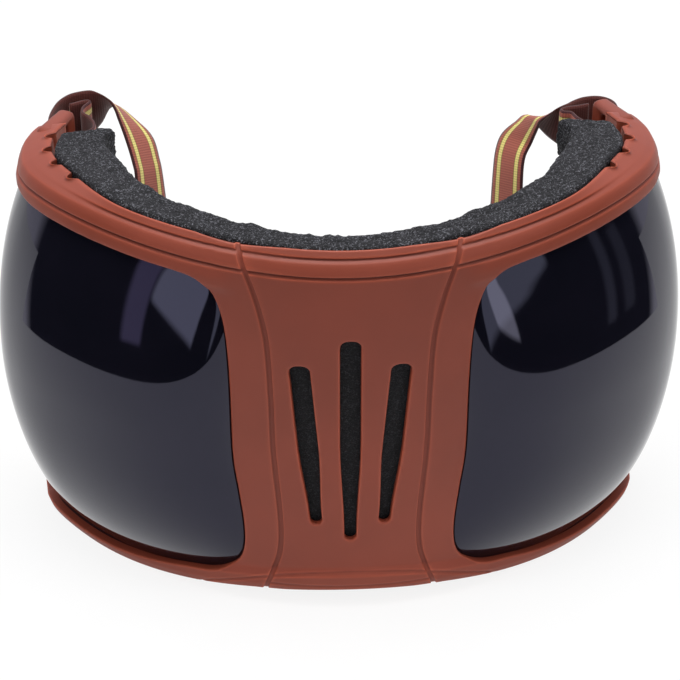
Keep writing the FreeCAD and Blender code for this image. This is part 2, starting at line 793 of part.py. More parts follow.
KEEPER_HEIGHT = "(2 * sizes.strap_thickness + sizes.fit_gap + 2 * sizes.keeper_gap)"
keeper_start = "-sizes.keeper_run - sizes.keeper_length / 2"
keeper_outside = box("keeper_outside", "sizes.keeper_length",
                     "sizes.strap_width + 2 * sizes.keeper_gap + 2 * sizes.keeper_wall",
                     KEEPER_HEIGHT + " + 2 * sizes.keeper_wall", keeper_start)
keeper_inside = box("keeper_inside", "3 * sizes.keeper_length",
                    "sizes.strap_width + 2 * sizes.keeper_gap", KEEPER_HEIGHT,
                    keeper_start + " - sizes.keeper_length", "0", "sizes.keeper_wall")
place_on_bar(carved("strap_keeper", keeper_outside, keeper_inside), LEFT)


# Bar tacks: blocks of thread through the two layers of each sewn end


def sewn_tack(name, loop, near_step, far_step, side):
    """Block across two layers of the loop, near the turn of its folded end."""
    near = post_place + Vector(-loop[near_step][0], loop[near_step][1], 0) * strap_reach
    far = post_place + Vector(-loop[far_step][0], loop[far_step][1], 0) * strap_reach
    across = far - near
    heading = math.degrees(math.atan2(across.y, side * across.x))
    node = doc.addObject("Part::Box", name)
    bind(node, Width="sizes.stitch_length", Height="sizes.stitch_height")
    node.Length = across.Length + strap_thickness + 2 * size("stitch_proud")
    offset = -(strap_thickness / 2 + size("stitch_proud"))
    turn = FreeCAD.Rotation(UP, heading)
    corner = Vector(side * near.x, near.y, strap_middle - size("stitch_height") / 2)
    node.Placement = FreeCAD.Placement(
        corner + turn.multVec(Vector(offset, -size("stitch_length") / 2, 0)), turn)
    return node


sewn_tack("right_strap_stitching", RIGHT_LOOP_SHARES, 2, -1, RIGHT)
sewn_tack("left_strap_stitching", LEFT_LOOP_SHARES, 2, -1, LEFT)

doc.recompute()
for node in doc.Objects:
    if "Invalid" in node.State or "Error" in node.State:
        raise RuntimeError(node.Label + " did not build")

NODES = (
    "nose_frame", "right_wing_frame", "left_wing_frame", "right_lens", "left_lens",
    "nose_foam_top", "nose_foam_bottom", "right_foam_top", "left_foam_top",
    "right_foam_bottom", "left_foam_bottom", "right_foam_rear", "left_foam_rear",
    "vent_filter", "right_strap", "left_strap", "right_strap_stitching",
    "left_strap_stitching", "buckle_socket", "buckle_plug", "buckle_prong_right",
    "buckle_prong_left", "strap_keeper",
)
nodes = [doc.getObject(name) for name in NODES]
for node in nodes:
    if node.Shape.isNull() or not node.Shape.isValid():
        raise RuntimeError(node.Label + " has no valid shape")
    print(node.Label, len(node.Shape.Solids), round(node.Shape.Volume))
for node in nodes:
    node.Shape.exportStep("parts/" + node.Label + ".step")
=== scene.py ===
import math

import bpy
import numpy as np
from mathutils import Matrix, Vector, noise


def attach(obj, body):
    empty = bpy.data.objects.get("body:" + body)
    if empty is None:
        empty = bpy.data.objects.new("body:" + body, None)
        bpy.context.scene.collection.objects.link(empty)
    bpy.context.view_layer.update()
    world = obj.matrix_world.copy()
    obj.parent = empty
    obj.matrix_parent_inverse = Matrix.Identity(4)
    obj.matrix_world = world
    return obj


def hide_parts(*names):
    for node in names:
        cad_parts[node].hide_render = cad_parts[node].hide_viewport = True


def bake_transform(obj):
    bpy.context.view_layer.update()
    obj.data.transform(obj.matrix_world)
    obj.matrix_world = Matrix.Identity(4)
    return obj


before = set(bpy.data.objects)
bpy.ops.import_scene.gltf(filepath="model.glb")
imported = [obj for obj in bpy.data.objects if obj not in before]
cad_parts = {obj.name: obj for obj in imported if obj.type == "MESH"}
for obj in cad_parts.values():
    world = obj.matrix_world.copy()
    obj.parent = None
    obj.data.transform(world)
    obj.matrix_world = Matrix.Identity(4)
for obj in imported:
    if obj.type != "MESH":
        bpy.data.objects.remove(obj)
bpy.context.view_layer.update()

# Horse goggles: a moulded soft frame, two smoked domes, a foam gasket and webbing straps.
# The sizes of the goggles are in millimetres, and this turns them to Blender's metres

MM = 0.001

# Camera, at the photograph's place and lens. Its place is in metres

CAMERA_PLACE = (-0.04546, -0.94825, 0.62714)
CAMERA_FORWARD = Vector((0.04209, 0.86060, -0.50754))
CAMERA_UP = Vector((0.02479, 0.50693, 0.86162))
LENS_FOCAL = 132.35
SENSOR_WIDTH = 36.0
SHIFT = (-0.0034, 0.0308)


def make_camera():
    """Camera with the photograph's view and its small shift."""
    data = bpy.data.cameras.new("studio_camera")
    data.lens, data.sensor_width = LENS_FOCAL, SENSOR_WIDTH
    data.shift_x, data.shift_y = SHIFT
    data.clip_start, data.clip_end = 0.01, 50.0
    camera = bpy.data.objects.new("studio_camera", data)
    bpy.context.scene.collection.objects.link(camera)
    right = CAMERA_FORWARD.cross(CAMERA_UP).normalized()
    up = right.cross(CAMERA_FORWARD).normalized()
    turn = Matrix((right, up, -CAMERA_FORWARD.normalized())).transposed()
    camera.matrix_world = Matrix.Translation(CAMERA_PLACE) @ turn.to_4x4()
    bpy.context.scene.camera = camera


make_camera()

# Sizes, as in the part's own sheet. A run is a length along the frame's outer line from the
# middle of the nose, below 0 on the left

# The arcs of the outer line, each with the heading at which it ends
FRONT_RADIUS, FRONT_SWEEP = 152.0, math.radians(58)
CORNER_RADIUS, CORNER_END = 79.0, math.radians(84)
ARM_RADIUS, ARM_END = 34.0, math.radians(118)
# The origin lies this far behind the outer line's middle
ORIGIN_BACK = 88.4
# The nose is arched over the table; up to this heading the top rises and the bottom comes down
NOSE_HEIGHT, TOP_RISE, NOSE_ARCH = 158.5, 6.0, 8.0
RISE_SWEEP = math.radians(48)
# The wings' lower edge draws in by this much, and fully from this heading on
DRAW_IN, DRAW_IN_SWEEP = 5.0, math.radians(56)
# The flange's depth at the nose and at the arms, the panel's at the vents, and how far down
# and up the thick rims reach
NOSE_DEPTH, ARM_DEPTH = 7.0, 12.0
PANEL_THICKNESS = 3.6
BACK_EDGE_DROP = 17.5
# The lens from its nose end to its arm end, and the tab and slot that carry the strap
LENS_START, LENS_STOP = 40.3, 200.7
TAB_LENGTH, TAB_DEPTH, TAB_HEIGHT, TAB_DROP, TAB_THICKNESS = 24.0, 10.5, 34.0, 5.5, 7.6
SLOT_LENGTH, SLOT_HEIGHT = 9.0, 26.0
STRAP_WIDTH, STRAP_THICKNESS, STRAP_DROP, STRAP_REACH = 21.0, 1.6, 5.0, 100.0
# Where the nose part ends and a wing begins
SEAM_RUN = 27.4
FIT_GAP = 0.3
RIGHT, LEFT = 1, -1


def ease(share):
    """Smooth step from 0 to 1."""
    share = np.clip(share, 0, 1)
    return share * share * (3 - 2 * share)


def arc_chain():
    """The arcs of the frame's outer line: runs, first turn, radius and middle of each."""
    chain = []
    run, turn, radius = 0.0, 0.0, FRONT_RADIUS
    middle = np.array((0.0, FRONT_RADIUS - ORIGIN_BACK))
    for last, following in ((FRONT_SWEEP, CORNER_RADIUS), (CORNER_END, ARM_RADIUS),
                            (ARM_END, ARM_RADIUS)):
        stop = run + radius * (last - turn)
        chain.append((run, stop, turn, radius, middle))
        middle = middle + np.array((math.sin(last), -math.cos(last))) * (radius - following)
        run, turn, radius = stop, last, following
    return chain


ARCS = arc_chain()
ARM_START = ARCS[-1][1]
POST_RUN = ARM_START + TAB_LENGTH - TAB_THICKNESS / 2


def outline(run):
    """Place and heading of the outer line at runs along it; runs below 0 lie left."""
    side, run = np.where(run < 0, -1.0, 1.0), np.abs(run)
    x, y, turn = np.zeros_like(run), np.zeros_like(run), np.zeros_like(run)
    for start, stop, first, radius, middle in ARCS:
        heading = first + (np.minimum(run, stop) - start) / radius
        here = run >= start
        x = np.where(here, middle[0] + radius * np.sin(heading), x)
        y = np.where(here, middle[1] - radius * np.cos(heading), y)
        turn = np.where(here, heading, turn)
    straight = np.maximum(run - ARM_START, 0)
    return side, x + straight * np.cos(turn), y + straight * np.sin(turn), turn


def rise(run):
    """Share of the way from the nose's height to the arms'."""
    return ease(outline(run)[3] / RISE_SWEEP)


def top(run):
    """Height of the frame's top edge."""
    return NOSE_ARCH + NOSE_HEIGHT + TOP_RISE * rise(run)


def bottom(run):
    """Height of the frame's bottom edge."""
    return NOSE_ARCH * (1 - rise(run))


PULL_RUNS, PULL = (150, 160, 170, 180, 190, 200, 211), (0, 0.2, 1.0, 2.6, 4.6, 5.9, 6.4)
# The flange starts to grow at this share of the way to the arm's end, and takes this share
FLANGE_GROWTH_START, FLANGE_GROWTH_REACH = 0.42, 0.4
# The flange is broader still where the notches are, and where the arm draws in
NOTCHED_FLANGE, NOTCHED_START, NOTCHED_REACH, PULLED_FLANGE = 3.0, 100, 45, 0.2


def arm_pull(run):
    """How far the soft arms draw in towards each other when nothing stretches them."""
    return np.interp(np.abs(run), PULL_RUNS, PULL)


def flange_depth(run):
    """Depth of the top flange's inner edge behind the outer line."""
    growth = (np.abs(run) / ARM_START - FLANGE_GROWTH_START) / FLANGE_GROWTH_REACH
    arm = NOTCHED_FLANGE * ease((np.abs(run) - NOTCHED_START) / NOTCHED_REACH)
    arm = arm + PULLED_FLANGE * arm_pull(run)
    return NOSE_DEPTH + (ARM_DEPTH - NOSE_DEPTH) * ease(growth) + arm


def at(run, depth, height):
    """Points in metres at runs, depths behind the outer line and heights."""
    run, depth, height = np.broadcast_arrays(run, depth, height)
    side, x, y, turn = outline(run)
    low_share = 1 - (height - bottom(run)) / (top(run) - bottom(run))
    inward = depth + DRAW_IN * ease(turn / DRAW_IN_SWEEP) * low_share
    x = x - arm_pull(run)
    place = (side * (x - np.sin(turn) * inward), y + np.cos(turn) * inward, height)
    return np.stack(place, -1) * MM


def smooth_line(points, steps=12, closed=False):
    """Dense points on the smooth line through the given ones."""
    points = np.array(points, float)
    count = len(points)
    spans = count if closed else count - 1
    dense = []
    for step in range(spans):
        if closed:
            before, start, end, after = (points[(step + k) % count] for k in (-1, 0, 1, 2))
        else:
            before, start = points[max(step - 1, 0)], points[step]
            end, after = points[step + 1], points[min(step + 2, count - 1)]
        leave, arrive = (end - before) / 2, (after - start) / 2
        share = (np.arange(steps) / steps)[:, None]
        square, cube = share ** 2, share ** 3
        dense.append(start * (2 * cube - 3 * square + 1) + leave * (cube - 2 * square + share)
                     + end * (3 * square - 2 * cube) + arrive * (cube - square))
    if not closed:
        dense.append(points[-1:])
    return np.vstack(dense)


def distance_outside(places, loop):
    """Signed distance of (run, height) places to a closed loop, below 0 inside it."""
    span = np.roll(loop, -1, axis=0) - loop
    moving = (span ** 2).sum(1) > 1e-12
    start, span = loop[moving], span[moving]
    length = (span ** 2).sum(1)
    found = []
    for part in np.array_split(places, len(places) // 2000 + 1):
        offset = part[:, None, :] - start
        share = np.clip((offset * span).sum(2) / length, 0, 1)
        gap = offset - share[..., None] * span
        nearest = np.sqrt((gap ** 2).sum(2).min(1))
        above = offset[..., 1] < 0
        crosses = above != (offset[..., 1] < span[:, 1])
        steep = np.where(np.abs(span[:, 1]) < 1e-9, 1e-9, span[:, 1])
        left = offset[..., 0] < offset[..., 1] * span[:, 0] / steep
        inside = (crosses & left).sum(1) % 2 == 1
        found.append(np.where(inside, -nearest, nearest))
    return np.concatenate(found)


# Openings of the frame, as loops of (run, height)

WINDOW_NOSE_EDGE = (
    (72.0, 154.1), (63.5, 152.4), (57.2, 147.6), (53.6, 140.0), (51.6, 131.0), (50.4, 118.0),
    (49.8, 101.0), (49.3, 71.0), (47.0, 53.0), (45.2, 38.0), (45.2, 27.0), (47.6, 19.5),
    (53.0, 14.8), (60.0, 11.8),
)
WINDOW_END = 196.0
WINDOW_ARM_EDGE = (
    (190.0, 8.6), (194.6, 20.0), (WINDOW_END, 38.0), (WINDOW_END, 85.0), (WINDOW_END, 126.0),
    (194.6, 145.0), (190.0, 154.5),
)
# Between them, how far below the top the opening ends, and how much higher at the arms
WINDOW_DROP, ARM_WINDOW_RISE = 16.0, 2
# Height of the frame's lip under the opening, which thins towards the arm
LIP_RUNS, LIP_RISES = (60, 72, 90, 110, 135, 200), (8.0, 7.2, 5.8, 4.6, 3.6, 3.2)
# Where the lower edge starts, the upper one stops, and how far both keep from the arm end
LIP_START, TOP_STOP, CORNER_REACH, EDGE_POINTS = 72, 84, 16, 12


def window_loop():
    """Edge of the lens opening: along the bottom, round the arm end and back over the top."""
    low = np.linspace(LIP_START, WINDOW_END - CORNER_REACH, EDGE_POINTS)
    lip = bottom(low) + np.interp(low, LIP_RUNS, LIP_RISES)
    high = np.linspace(WINDOW_END - CORNER_REACH, TOP_STOP, EDGE_POINTS)
    brow = top(high) - WINDOW_DROP + ARM_WINDOW_RISE * ease((high - 150) / 30)
    return smooth_line([*WINDOW_NOSE_EDGE, *zip(low, lip), *WINDOW_ARM_EDGE, *zip(high, brow)],
                       6, closed=True)


# Half widths of a vent's head and foot, and how much flatter and squarer than round the head is
HEAD_HALF, FOOT_HALF, HEAD_FLAT, HEAD_SQUARE = 4.3, 2.5, 0.8, 0.8


def vent_loop(side, head, foot, head_offset, foot_offset):
    """Tapered vent with a broad, blunt head and a narrow round foot."""
    points = []
    heights = np.linspace(foot + FOOT_HALF, head - HEAD_HALF * HEAD_FLAT, 12)
    shares = (heights - heights[0]) / (heights[-1] - heights[0])
    halves = FOOT_HALF + (HEAD_HALF - FOOT_HALF) * ease(shares * 2.0)
    middles = foot_offset + (head_offset - foot_offset) * shares
    points += list(zip(middles + halves, heights))
    for angle in np.linspace(0, math.pi, 11)[1:-1]:
        square = abs(math.cos(angle)) ** HEAD_SQUARE * math.copysign(1, math.cos(angle))
        blunt = math.sin(angle) ** HEAD_SQUARE
        points.append((head_offset + HEAD_HALF * square,
                       heights[-1] + HEAD_HALF * HEAD_FLAT * blunt))
    points += list(zip(middles - halves, heights))[::-1]
    for angle in np.linspace(math.pi, 2 * math.pi, 8)[1:-1]:
        points.append((foot_offset + FOOT_HALF * math.cos(angle),
                       heights[0] + FOOT_HALF * math.sin(angle)))
    loop = smooth_line(points, 4, closed=True)
    loop[:, 0] *= side
    return loop


WINDOW = window_loop()
VENTS = (vent_loop(RIGHT, 128.5, 33.0, 0.0, 0.0), vent_loop(RIGHT, 116.8, 40.8, 20.7, 14.4),
         vent_loop(LEFT, 116.8, 40.8, 20.7, 14.4))
# The vents lie within this run of the nose's middle
VENT_FIELD = 36


def hole_distance(run, height):
    """Distance to the nearest opening's edge, below 0 inside an opening."""
    places = np.stack((run.ravel(), height.ravel()), 1)
    folded = np.stack((np.abs(run).ravel(), height.ravel()), 1)
    nearest = distance_outside(folded, WINDOW)
    front = folded[:, 0] < VENT_FIELD
    for loop in VENTS:
        nearest[front] = np.minimum(nearest[front], distance_outside(places[front], loop))
    return nearest.reshape(run.shape)


# The moulded frame: a front and a back sheet over one grid, joined round every edge

# Middle of the flex groove, as (height, run)
FLEX_GROOVE = smooth_line(((2, 37.5), (9, 35.3), (18.5, 31.8), (28, 29.5), (43, 29.3),
                           (75, 31.9), (100, 32.6), (125, 33.9), (140, 36.5), (155, 41.0),
                           (169, 47.4), (176, 50.8)))
FLEX_HALF, FLEX_WALL, FLEX_DEPTH = 0.85, 0.4, 1.2
# Two creases run along the rim, this far below the top. The rim slopes back between them, and
# the flange above the first
RIM_CREASES = (3.2, 9.8)
RIM_CREASE_HALVES, RIM_CREASE_DEPTH = (0.85, 0.9), 1.3
SLOPE_DEPTH, SLOPE_BEND = 3.2, 0.9
RIM_SWELL, WING_SWELL, WING_START, WING_REACH = 0.6, 1.2, 44, 14
# The lower lip swells forward by these depths at these lifts over the bottom edge
LIP_LIFTS, LIP_DEPTHS = (0, 3.5, 7.5, 11.0), (-0.9, -2.0, -2.0, 0.0)
FOOT_CREASE = smooth_line(((0, 9.3), (18, 8.8), (34, 7.4), (50, 4.4), (62, 1.6), (70, -2)))
FOOT_CREASE_HALF, FOOT_CREASE_DEPTH = 0.8, 0.7
# A shallower crease low over the nose
NOSE_LINE_HEIGHT, NOSE_LINE_DEPTH, NOSE_LINE_END = 10.7, 0.6, 36
EDGE_ROUND, HOLE_ROUND = 0.7, 0.8
# Breathing notches in the top flange
NOTCH_PITCH, NOTCH_HALF, NOTCH_DEPTH, NOTCH_DROP = 16.5, 3.3, 3.6, 8.2
NOTCHES = tuple(188.25 - NOTCH_PITCH * step for step in range(4))
PANEL_END = 35


def cut_line(gap, half_width, depth):
    """Depth of a fine V cut at a distance from its middle."""
    return depth * np.clip(1 - np.abs(gap) / half_width, 0, 1)


def notch_depth(run, drop):
    """How far the breathing notches cut the top flange's inner edge."""
    cut = np.zeros_like(run)
    for middle in NOTCHES:
        share = (np.abs(np.abs(run) - middle) / NOTCH_HALF) ** 2
        cut = np.maximum(cut, np.sqrt(np.clip(1 - share, 0, 1)))
    return NOTCH_DEPTH * cut * ease((NOTCH_DROP - drop) / 1.6)


def flex_cut(run, height):
    """Flat-floored channel of the flex groove."""
    middle = np.interp(height, FLEX_GROOVE[:, 0], FLEX_GROOVE[:, 1])
    return np.clip((FLEX_HALF + FLEX_WALL - np.abs(np.abs(run) - middle)) / FLEX_WALL, 0, 1)


def front_depth(run, height):
    """Depth of the frame's outer face: slope, rim, wing, lower lip, creases and flex groove."""
    drop, lift = top(run) - height, height - bottom(run)
    back = flange_depth(run) - EDGE_ROUND
    first, second = RIM_CREASES
    slope = (back - SLOPE_DEPTH) * np.clip(1 - drop / first, 0, 1) ** SLOPE_BEND
    rim = SLOPE_DEPTH * np.clip((second - drop) / (second - first), 0, 1)
    depth = np.where(drop < first, SLOPE_DEPTH + slope, rim)
    depth = np.where(drop < first, np.minimum(depth, back - notch_depth(run, drop)), depth)
    swell = np.clip((drop - first) / (second - first), 0, 1)
    depth = depth - RIM_SWELL * np.sin(swell * math.pi)
    outside = ease((np.abs(run) - WING_START) / WING_REACH)
    outside = outside * ease((WINDOW_DROP + 6 - drop) / 4)
    swell = np.clip((drop - second) / (WINDOW_DROP - second), 0, 1)
    depth = depth - WING_SWELL * np.sin(swell * math.pi / 2) * outside
    flex = flex_cut(run, height)
    fine = sum(cut_line(drop - crease, half, RIM_CREASE_DEPTH)
               for crease, half in zip(RIM_CREASES, RIM_CREASE_HALVES))
    depth = depth + fine * (1 - flex)
    depth = depth + np.interp(lift, LIP_LIFTS, LIP_DEPTHS)
    crease = np.interp(np.abs(run), FOOT_CREASE[:, 0], FOOT_CREASE[:, 1])
    fine = cut_line(lift - crease, FOOT_CREASE_HALF, FOOT_CREASE_DEPTH)
    nose_line = cut_line(height - NOSE_LINE_HEIGHT, FOOT_CREASE_HALF, NOSE_LINE_DEPTH)
    fine = fine + nose_line * ease((NOSE_LINE_END - np.abs(run)) / 2)
    depth = depth + fine * (1 - flex)
    return depth + FLEX_DEPTH * flex * ease((lift + 1) / 2)


def back_depth(run, height):
    """Depth of the frame's inner face: deep at the rims, thin behind the nose panel."""
    drop, lift = top(run) - height, height - bottom(run)
    flange = flange_depth(run) - notch_depth(run, drop)
    rim = np.maximum(ease((BACK_EDGE_DROP - drop) / 2), ease((BACK_EDGE_DROP - lift) / 2))
    panel = ease((PANEL_END - np.abs(run)) / 2) * (1 - rim)
    return flange + (PANEL_THICKNESS - flange) * panel


class MeshBook:
    """Vertices and faces gathered for one moulding, with the owner of each face."""

    def __init__(self):
        self.points, self.faces, self.owners = [], [], []
        self.count = 0

    def add_points(self, places):
        places = np.asarray(places, float).reshape(-1, 3)
        first = self.count
        self.points.append(places)
        self.count += len(places)
        return first + np.arange(len(places))

    def add_face(self, corners, owner):
        self.faces.append(tuple(int(corner) for corner in corners))
        self.owners.append(owner)


def owner_of(run):
    """Which of the three pieces a run belongs to."""
    if abs(run) < SEAM_RUN + 0.01:
        return "nose"
    return "right" if run > 0 else "left"


# Columns of the grid: even ones over the nose part, a few up to the flex groove, these steps
# across it, more to the near stop, and even ones to the arm's end
NOSE_COLUMNS, BEFORE_GROOVE, AFTER_GROOVE, FAR_COLUMNS = 27, 3, 21, 112
FLEX_STEPS = (-1.6, -1.25, -0.85, -0.45, 0, 0.45, 0.85, 1.25, 1.6)
NEAR_STOP, LAST_STEP = 66.0, 0.8
# The rows of a bent column are those of this run
BENT_COLUMNS, BENT_RUNS = (0, 3, 13, 32), (28.2, 30, 34, 65)
# Rows of the grid, as drops below the top, lifts over the bottom and a count between them
DROP_ROWS = (0, 0.5, 1.0, 1.6, 2.1, 2.45, 2.8, 3.2, 3.6, 3.95, 4.5, 5.4, 6.4, 7.4, 8.3, 8.8, 9.0,
             9.4, 9.8, 10.2, 10.6, 11.2, 12, 12.8, 13.6, 14.4, 15.2, 16, 17, 18, 19, 20.5)
LIFT_ROWS = (0, 0.7, 1.3, 1.9, 2.4, 2.9, 3.4, 3.9, 4.4, 4.9, 5.4, 5.9, 6.4, 6.9, 7.4, 7.9, 8.4,
             8.9, 9.4, 9.9, 10.5, 11.2, 12, 13, 14.4)
MIDDLE_ROWS = 84


def row_heights(run):
    """Heights of a column's rows, from the bottom to the top."""
    low = bottom(run) + np.array(LIFT_ROWS)
    high = top(run) - np.array(DROP_ROWS[::-1])
    middle = np.linspace(low[-1], high[0], MIDDLE_ROWS + 1)[1:-1]
    return np.concatenate((low, middle, high))


def even_column(run):
    """Runs and heights of an upright column."""
    height = row_heights(run)
    return np.full_like(height, run), height


def frame_columns():
    """Grid runs and heights: columns near the flex groove follow its curve."""
    half = [even_column(run) for run in np.linspace(0, SEAM_RUN, NOSE_COLUMNS + 1)[1:]]
    groove = len(FLEX_STEPS)
    for index in range(BEFORE_GROOVE + groove + AFTER_GROOVE):
        height = row_heights(np.interp(index, BENT_COLUMNS, BENT_RUNS))
        middle = np.interp(height, FLEX_GROOVE[:, 0], FLEX_GROOVE[:, 1])
        step = index - BEFORE_GROOVE
        if step < 0:
            share = (index + 1) / (BEFORE_GROOVE + 1)
            run = SEAM_RUN + (middle + FLEX_STEPS[0] - SEAM_RUN) * share
        elif step < groove:
            run = middle + FLEX_STEPS[step]
        else:
            share = (step - groove + 1) / (AFTER_GROOVE + 1)
            first = middle + FLEX_STEPS[-1]
            run = first + (NEAR_STOP - first) * share
        half.append((run, height))
    far = np.linspace(NEAR_STOP, ARM_START - LAST_STEP, FAR_COLUMNS)
    half += [even_column(run) for run in (*far, ARM_START)]
    runs, heights = (np.array(values) for values in zip(*half))
    centre = row_heights(0.0)
    run = np.vstack((-runs[::-1], np.zeros((1, len(centre))), runs))
    return run, np.vstack((heights[::-1], centre[None, :], heights))


# An opening's edge stays this share of a cell away from the cell's corners
CUT_MARGIN = 0.04
# The openings' outward direction is found from places this far to each side
PROBE = 0.4


def edge_path(near, far):
    """Insets and depths round an opening's edge, from the front sheet to the back one."""
    path = [(0.0, near)]
    for angle in (30, 60, 90):
        angle = math.radians(angle)
        path.append((HOLE_ROUND * math.sin(angle), near + HOLE_ROUND * (1 - math.cos(angle))))
    path.append((HOLE_ROUND, (near + far) / 2))
    for angle in (90, 45):
        angle = math.radians(angle)
        path.append((HOLE_ROUND * math.sin(angle), far - HOLE_ROUND * (1 - math.cos(angle))))
    path.append((0.0, far))
    return np.array(path).T


class FrameGrid:
    """The frame's front and back sheets over one grid, cut at the openings."""

    def __init__(self, book):
        self.book = book
        run, height = self.run, self.height = frame_columns()
        front, back = self.front, self.back = front_depth(run, height), back_depth(run, height)
        front[:, 0] += EDGE_ROUND
        for end in (0, -1):
            front[end] += EDGE_ROUND
            back[end] -= EDGE_ROUND
        back_height = height.copy()
        back_height[:, -1] -= EDGE_ROUND
        back_height[:, 0] += EDGE_ROUND * 0.5
        self.distance = hole_distance(run, height) - HOLE_ROUND
        self.sheets = [book.add_points(at(run, depth, level)).reshape(run.shape)
                       for depth, level in ((front, height), (back, back_height))]
        self.rings = {}

    def opening_edge(self, kept, cut):
        """Vertices round an opening's edge, where it crosses from a kept corner to a cut one."""
        if (kept, cut) in self.rings:
            return self.rings[kept, cut]
        share = self.distance[kept] / (self.distance[kept] - self.distance[cut])
        share = min(max(share, CUT_MARGIN), 1 - CUT_MARGIN)
        run, height, near, far = (
            values[kept] + (values[cut] - values[kept]) * share
            for values in (self.run, self.height, self.front, self.back))
        probes = hole_distance(np.array([run + PROBE, run - PROBE, run, run]),
                               np.array([height, height, height + PROBE, height - PROBE]))
        slope = np.array((probes[0] - probes[1], probes[2] - probes[3]))
        slope /= max(np.linalg.norm(slope), 1e-6)
        inset, depth = edge_path(near, far)
        places = at(run - slope[0] * inset, depth, height - slope[1] * inset)
        self.rings[kept, cut] = self.book.add_points(places)
        return self.rings[kept, cut]

    def fill_cell(self, corners, owner):
        """Faces of one grid cell on both sheets, with the opening's edge where it is cut."""
        kept = [self.distance[corner] > 0 for corner in corners]
        front_loop, back_loop, cuts = [], [], {}
        for k in range(4):
            here, following = corners[k], corners[(k + 1) % 4]
            if kept[k]:
                front_loop.append(self.sheets[0][here])
                back_loop.append(self.sheets[1][here])
            if kept[k] != kept[(k + 1) % 4]:
                edge = (here, following) if kept[k] else (following, here)
                ring = self.opening_edge(*edge)
                front_loop.append(ring[0])
                back_loop.append(ring[-1])
                cuts.setdefault(kept[k], []).append(ring)
        if not front_loop:
            return
        self.book.add_face(front_loop, owner)
        self.book.add_face(back_loop[::-1], owner)
        if [len(rings) for rings in cuts.values()] == [1, 1]:
            leave, enter = cuts[True][0], cuts[False][0]
            for step in range(len(leave) - 1):
                self.book.add_face((enter[step], leave[step], leave[step + 1], enter[step + 1]),
                                   owner)

    def build(self):
        """Both sheets, the top and bottom edges and the arms' ends."""
        columns, rows = self.run.shape
        front, back = self.sheets
        for i in range(columns - 1):
            owner = owner_of((self.run[i, 0] + self.run[i + 1, 0]) / 2)
            for j in range(rows - 1):
                self.fill_cell(((i, j), (i + 1, j), (i + 1, j + 1), (i, j + 1)), owner)
            for j, flip in ((0, False), (rows - 1, True)):
                corners = (front[i, j], back[i, j], back[i + 1, j], front[i + 1, j])
                self.book.add_face(corners[::-1] if flip else corners, owner)
        for i, flip, owner in ((0, False, "left"), (columns - 1, True, "right")):
            for j in range(rows - 1):
                corners = (front[i, j], front[i, j + 1], back[i, j + 1], back[i, j])
                self.book.add_face(corners[::-1] if flip else corners, owner)


def ring_quads(this, following, flip=False):
    """Faces between two closed rings of vertices."""
    quads = []
    for step, corner in enumerate(this):
        after = (step + 1) % len(this)
        sides = (following[step], this[after])
        first, last = sides[::-1] if flip else sides
        quads.append((corner, first, following[after], last))
    return quads


def rounded_loop(half_length, half_height, radius, count=12):
    """Rectangle with round corners about the origin, as points that run round it."""
    points = []
    for corner, (sign_x, sign_y) in enumerate(((1, 1), (-1, 1), (-1, -1), (1, -1))):
        for step in range(count):
            angle = math.pi / 2 * (corner + step / (count - 1))
            points.append((sign_x * (half_length - radius) + radius * math.cos(angle),
                           sign_y * (half_height - radius) + radius * math.sin(angle)))
    return np.array(points)


# The tab's root sinks into the arm, rises to its top and draws in with it
ROOT_LENGTH, ROOT_RISE, ROOT_SPREAD, TAB_LIFT = 9.0, 3.0, 0.35, 1.5
TAB_CORNER, TAB_ROUND, SLOT_CORNER, SLOT_ROUND = 3.6, 2.4, 2.2, 1.2


def strap_post(book, side, owner):
    """Tab at the arm's end with its slot and the round post that carries the strap."""
    arm_x, arm_y, turn = outline(ARM_START)[1:]
    tab_top = top(ARM_START) - TAB_DROP + TAB_LIFT
    half = TAB_THICKNESS / 2
    start, stop = ARM_START - ROOT_LENGTH, POST_RUN + half
    outer = rounded_loop((stop - start) / 2, TAB_HEIGHT / 2, TAB_CORNER)
    inner = rounded_loop(SLOT_LENGTH / 2, SLOT_HEIGHT / 2, SLOT_CORNER)
    outer[:, 0] += (start + stop) / 2
    inner[:, 0] += POST_RUN - half - SLOT_LENGTH / 2
    rings = []

    def ring(loop, shrink, depth):
        along = np.roll(loop, -1, axis=0) - np.roll(loop, 1, axis=0)
        normal = np.stack((along[:, 1], -along[:, 0]), 1)
        normal /= np.linalg.norm(normal, axis=1)[:, None]
        moved = loop - normal * shrink
        run, height = moved[:, 0] - ARM_START, moved[:, 1] + tab_top - TAB_HEIGHT / 2
        height = height + ROOT_RISE * ease((12 - run) / 16) * ease((height - tab_top + 14) / 10)
        depth = TAB_DEPTH + depth * (1 + ROOT_SPREAD * ease((6 - run) / 10))
        x = arm_x + np.cos(turn) * run - np.sin(turn) * depth
        x = x - PULL[-1] * ease((ROOT_LENGTH - run) / 12)
        y = arm_y + np.sin(turn) * run + np.cos(turn) * depth
        rings.append(book.add_points(np.stack((side * x, y, height), 1) * MM))

    for radius, loop, sign, faces in ((TAB_ROUND, outer, 1, (-1, 1)),
                                      (SLOT_ROUND, inner, -1, (1, -1))):
        for face in faces:
            angles = (0, 30, 60, 90) if face == faces[0] else (90, 60, 30, 0)
            for angle in angles:
                angle = math.radians(angle)
                ring(loop, sign * radius * (1 - math.sin(angle)),
                     face * (half - radius * (1 - math.cos(angle))))
    for this, following in zip(rings, rings[1:] + rings[:1]):
        for corners in ring_quads(this, following, flip=True):
            book.add_face(corners if side > 0 else corners[::-1], owner)


# Making Blender objects


def link(name, mesh, finish):
    """An object of that name, in the scene, with its material."""
    mesh.materials.append(finish)
    piece = bpy.data.objects.new(name, mesh)
    bpy.context.scene.collection.objects.link(piece)
    return piece


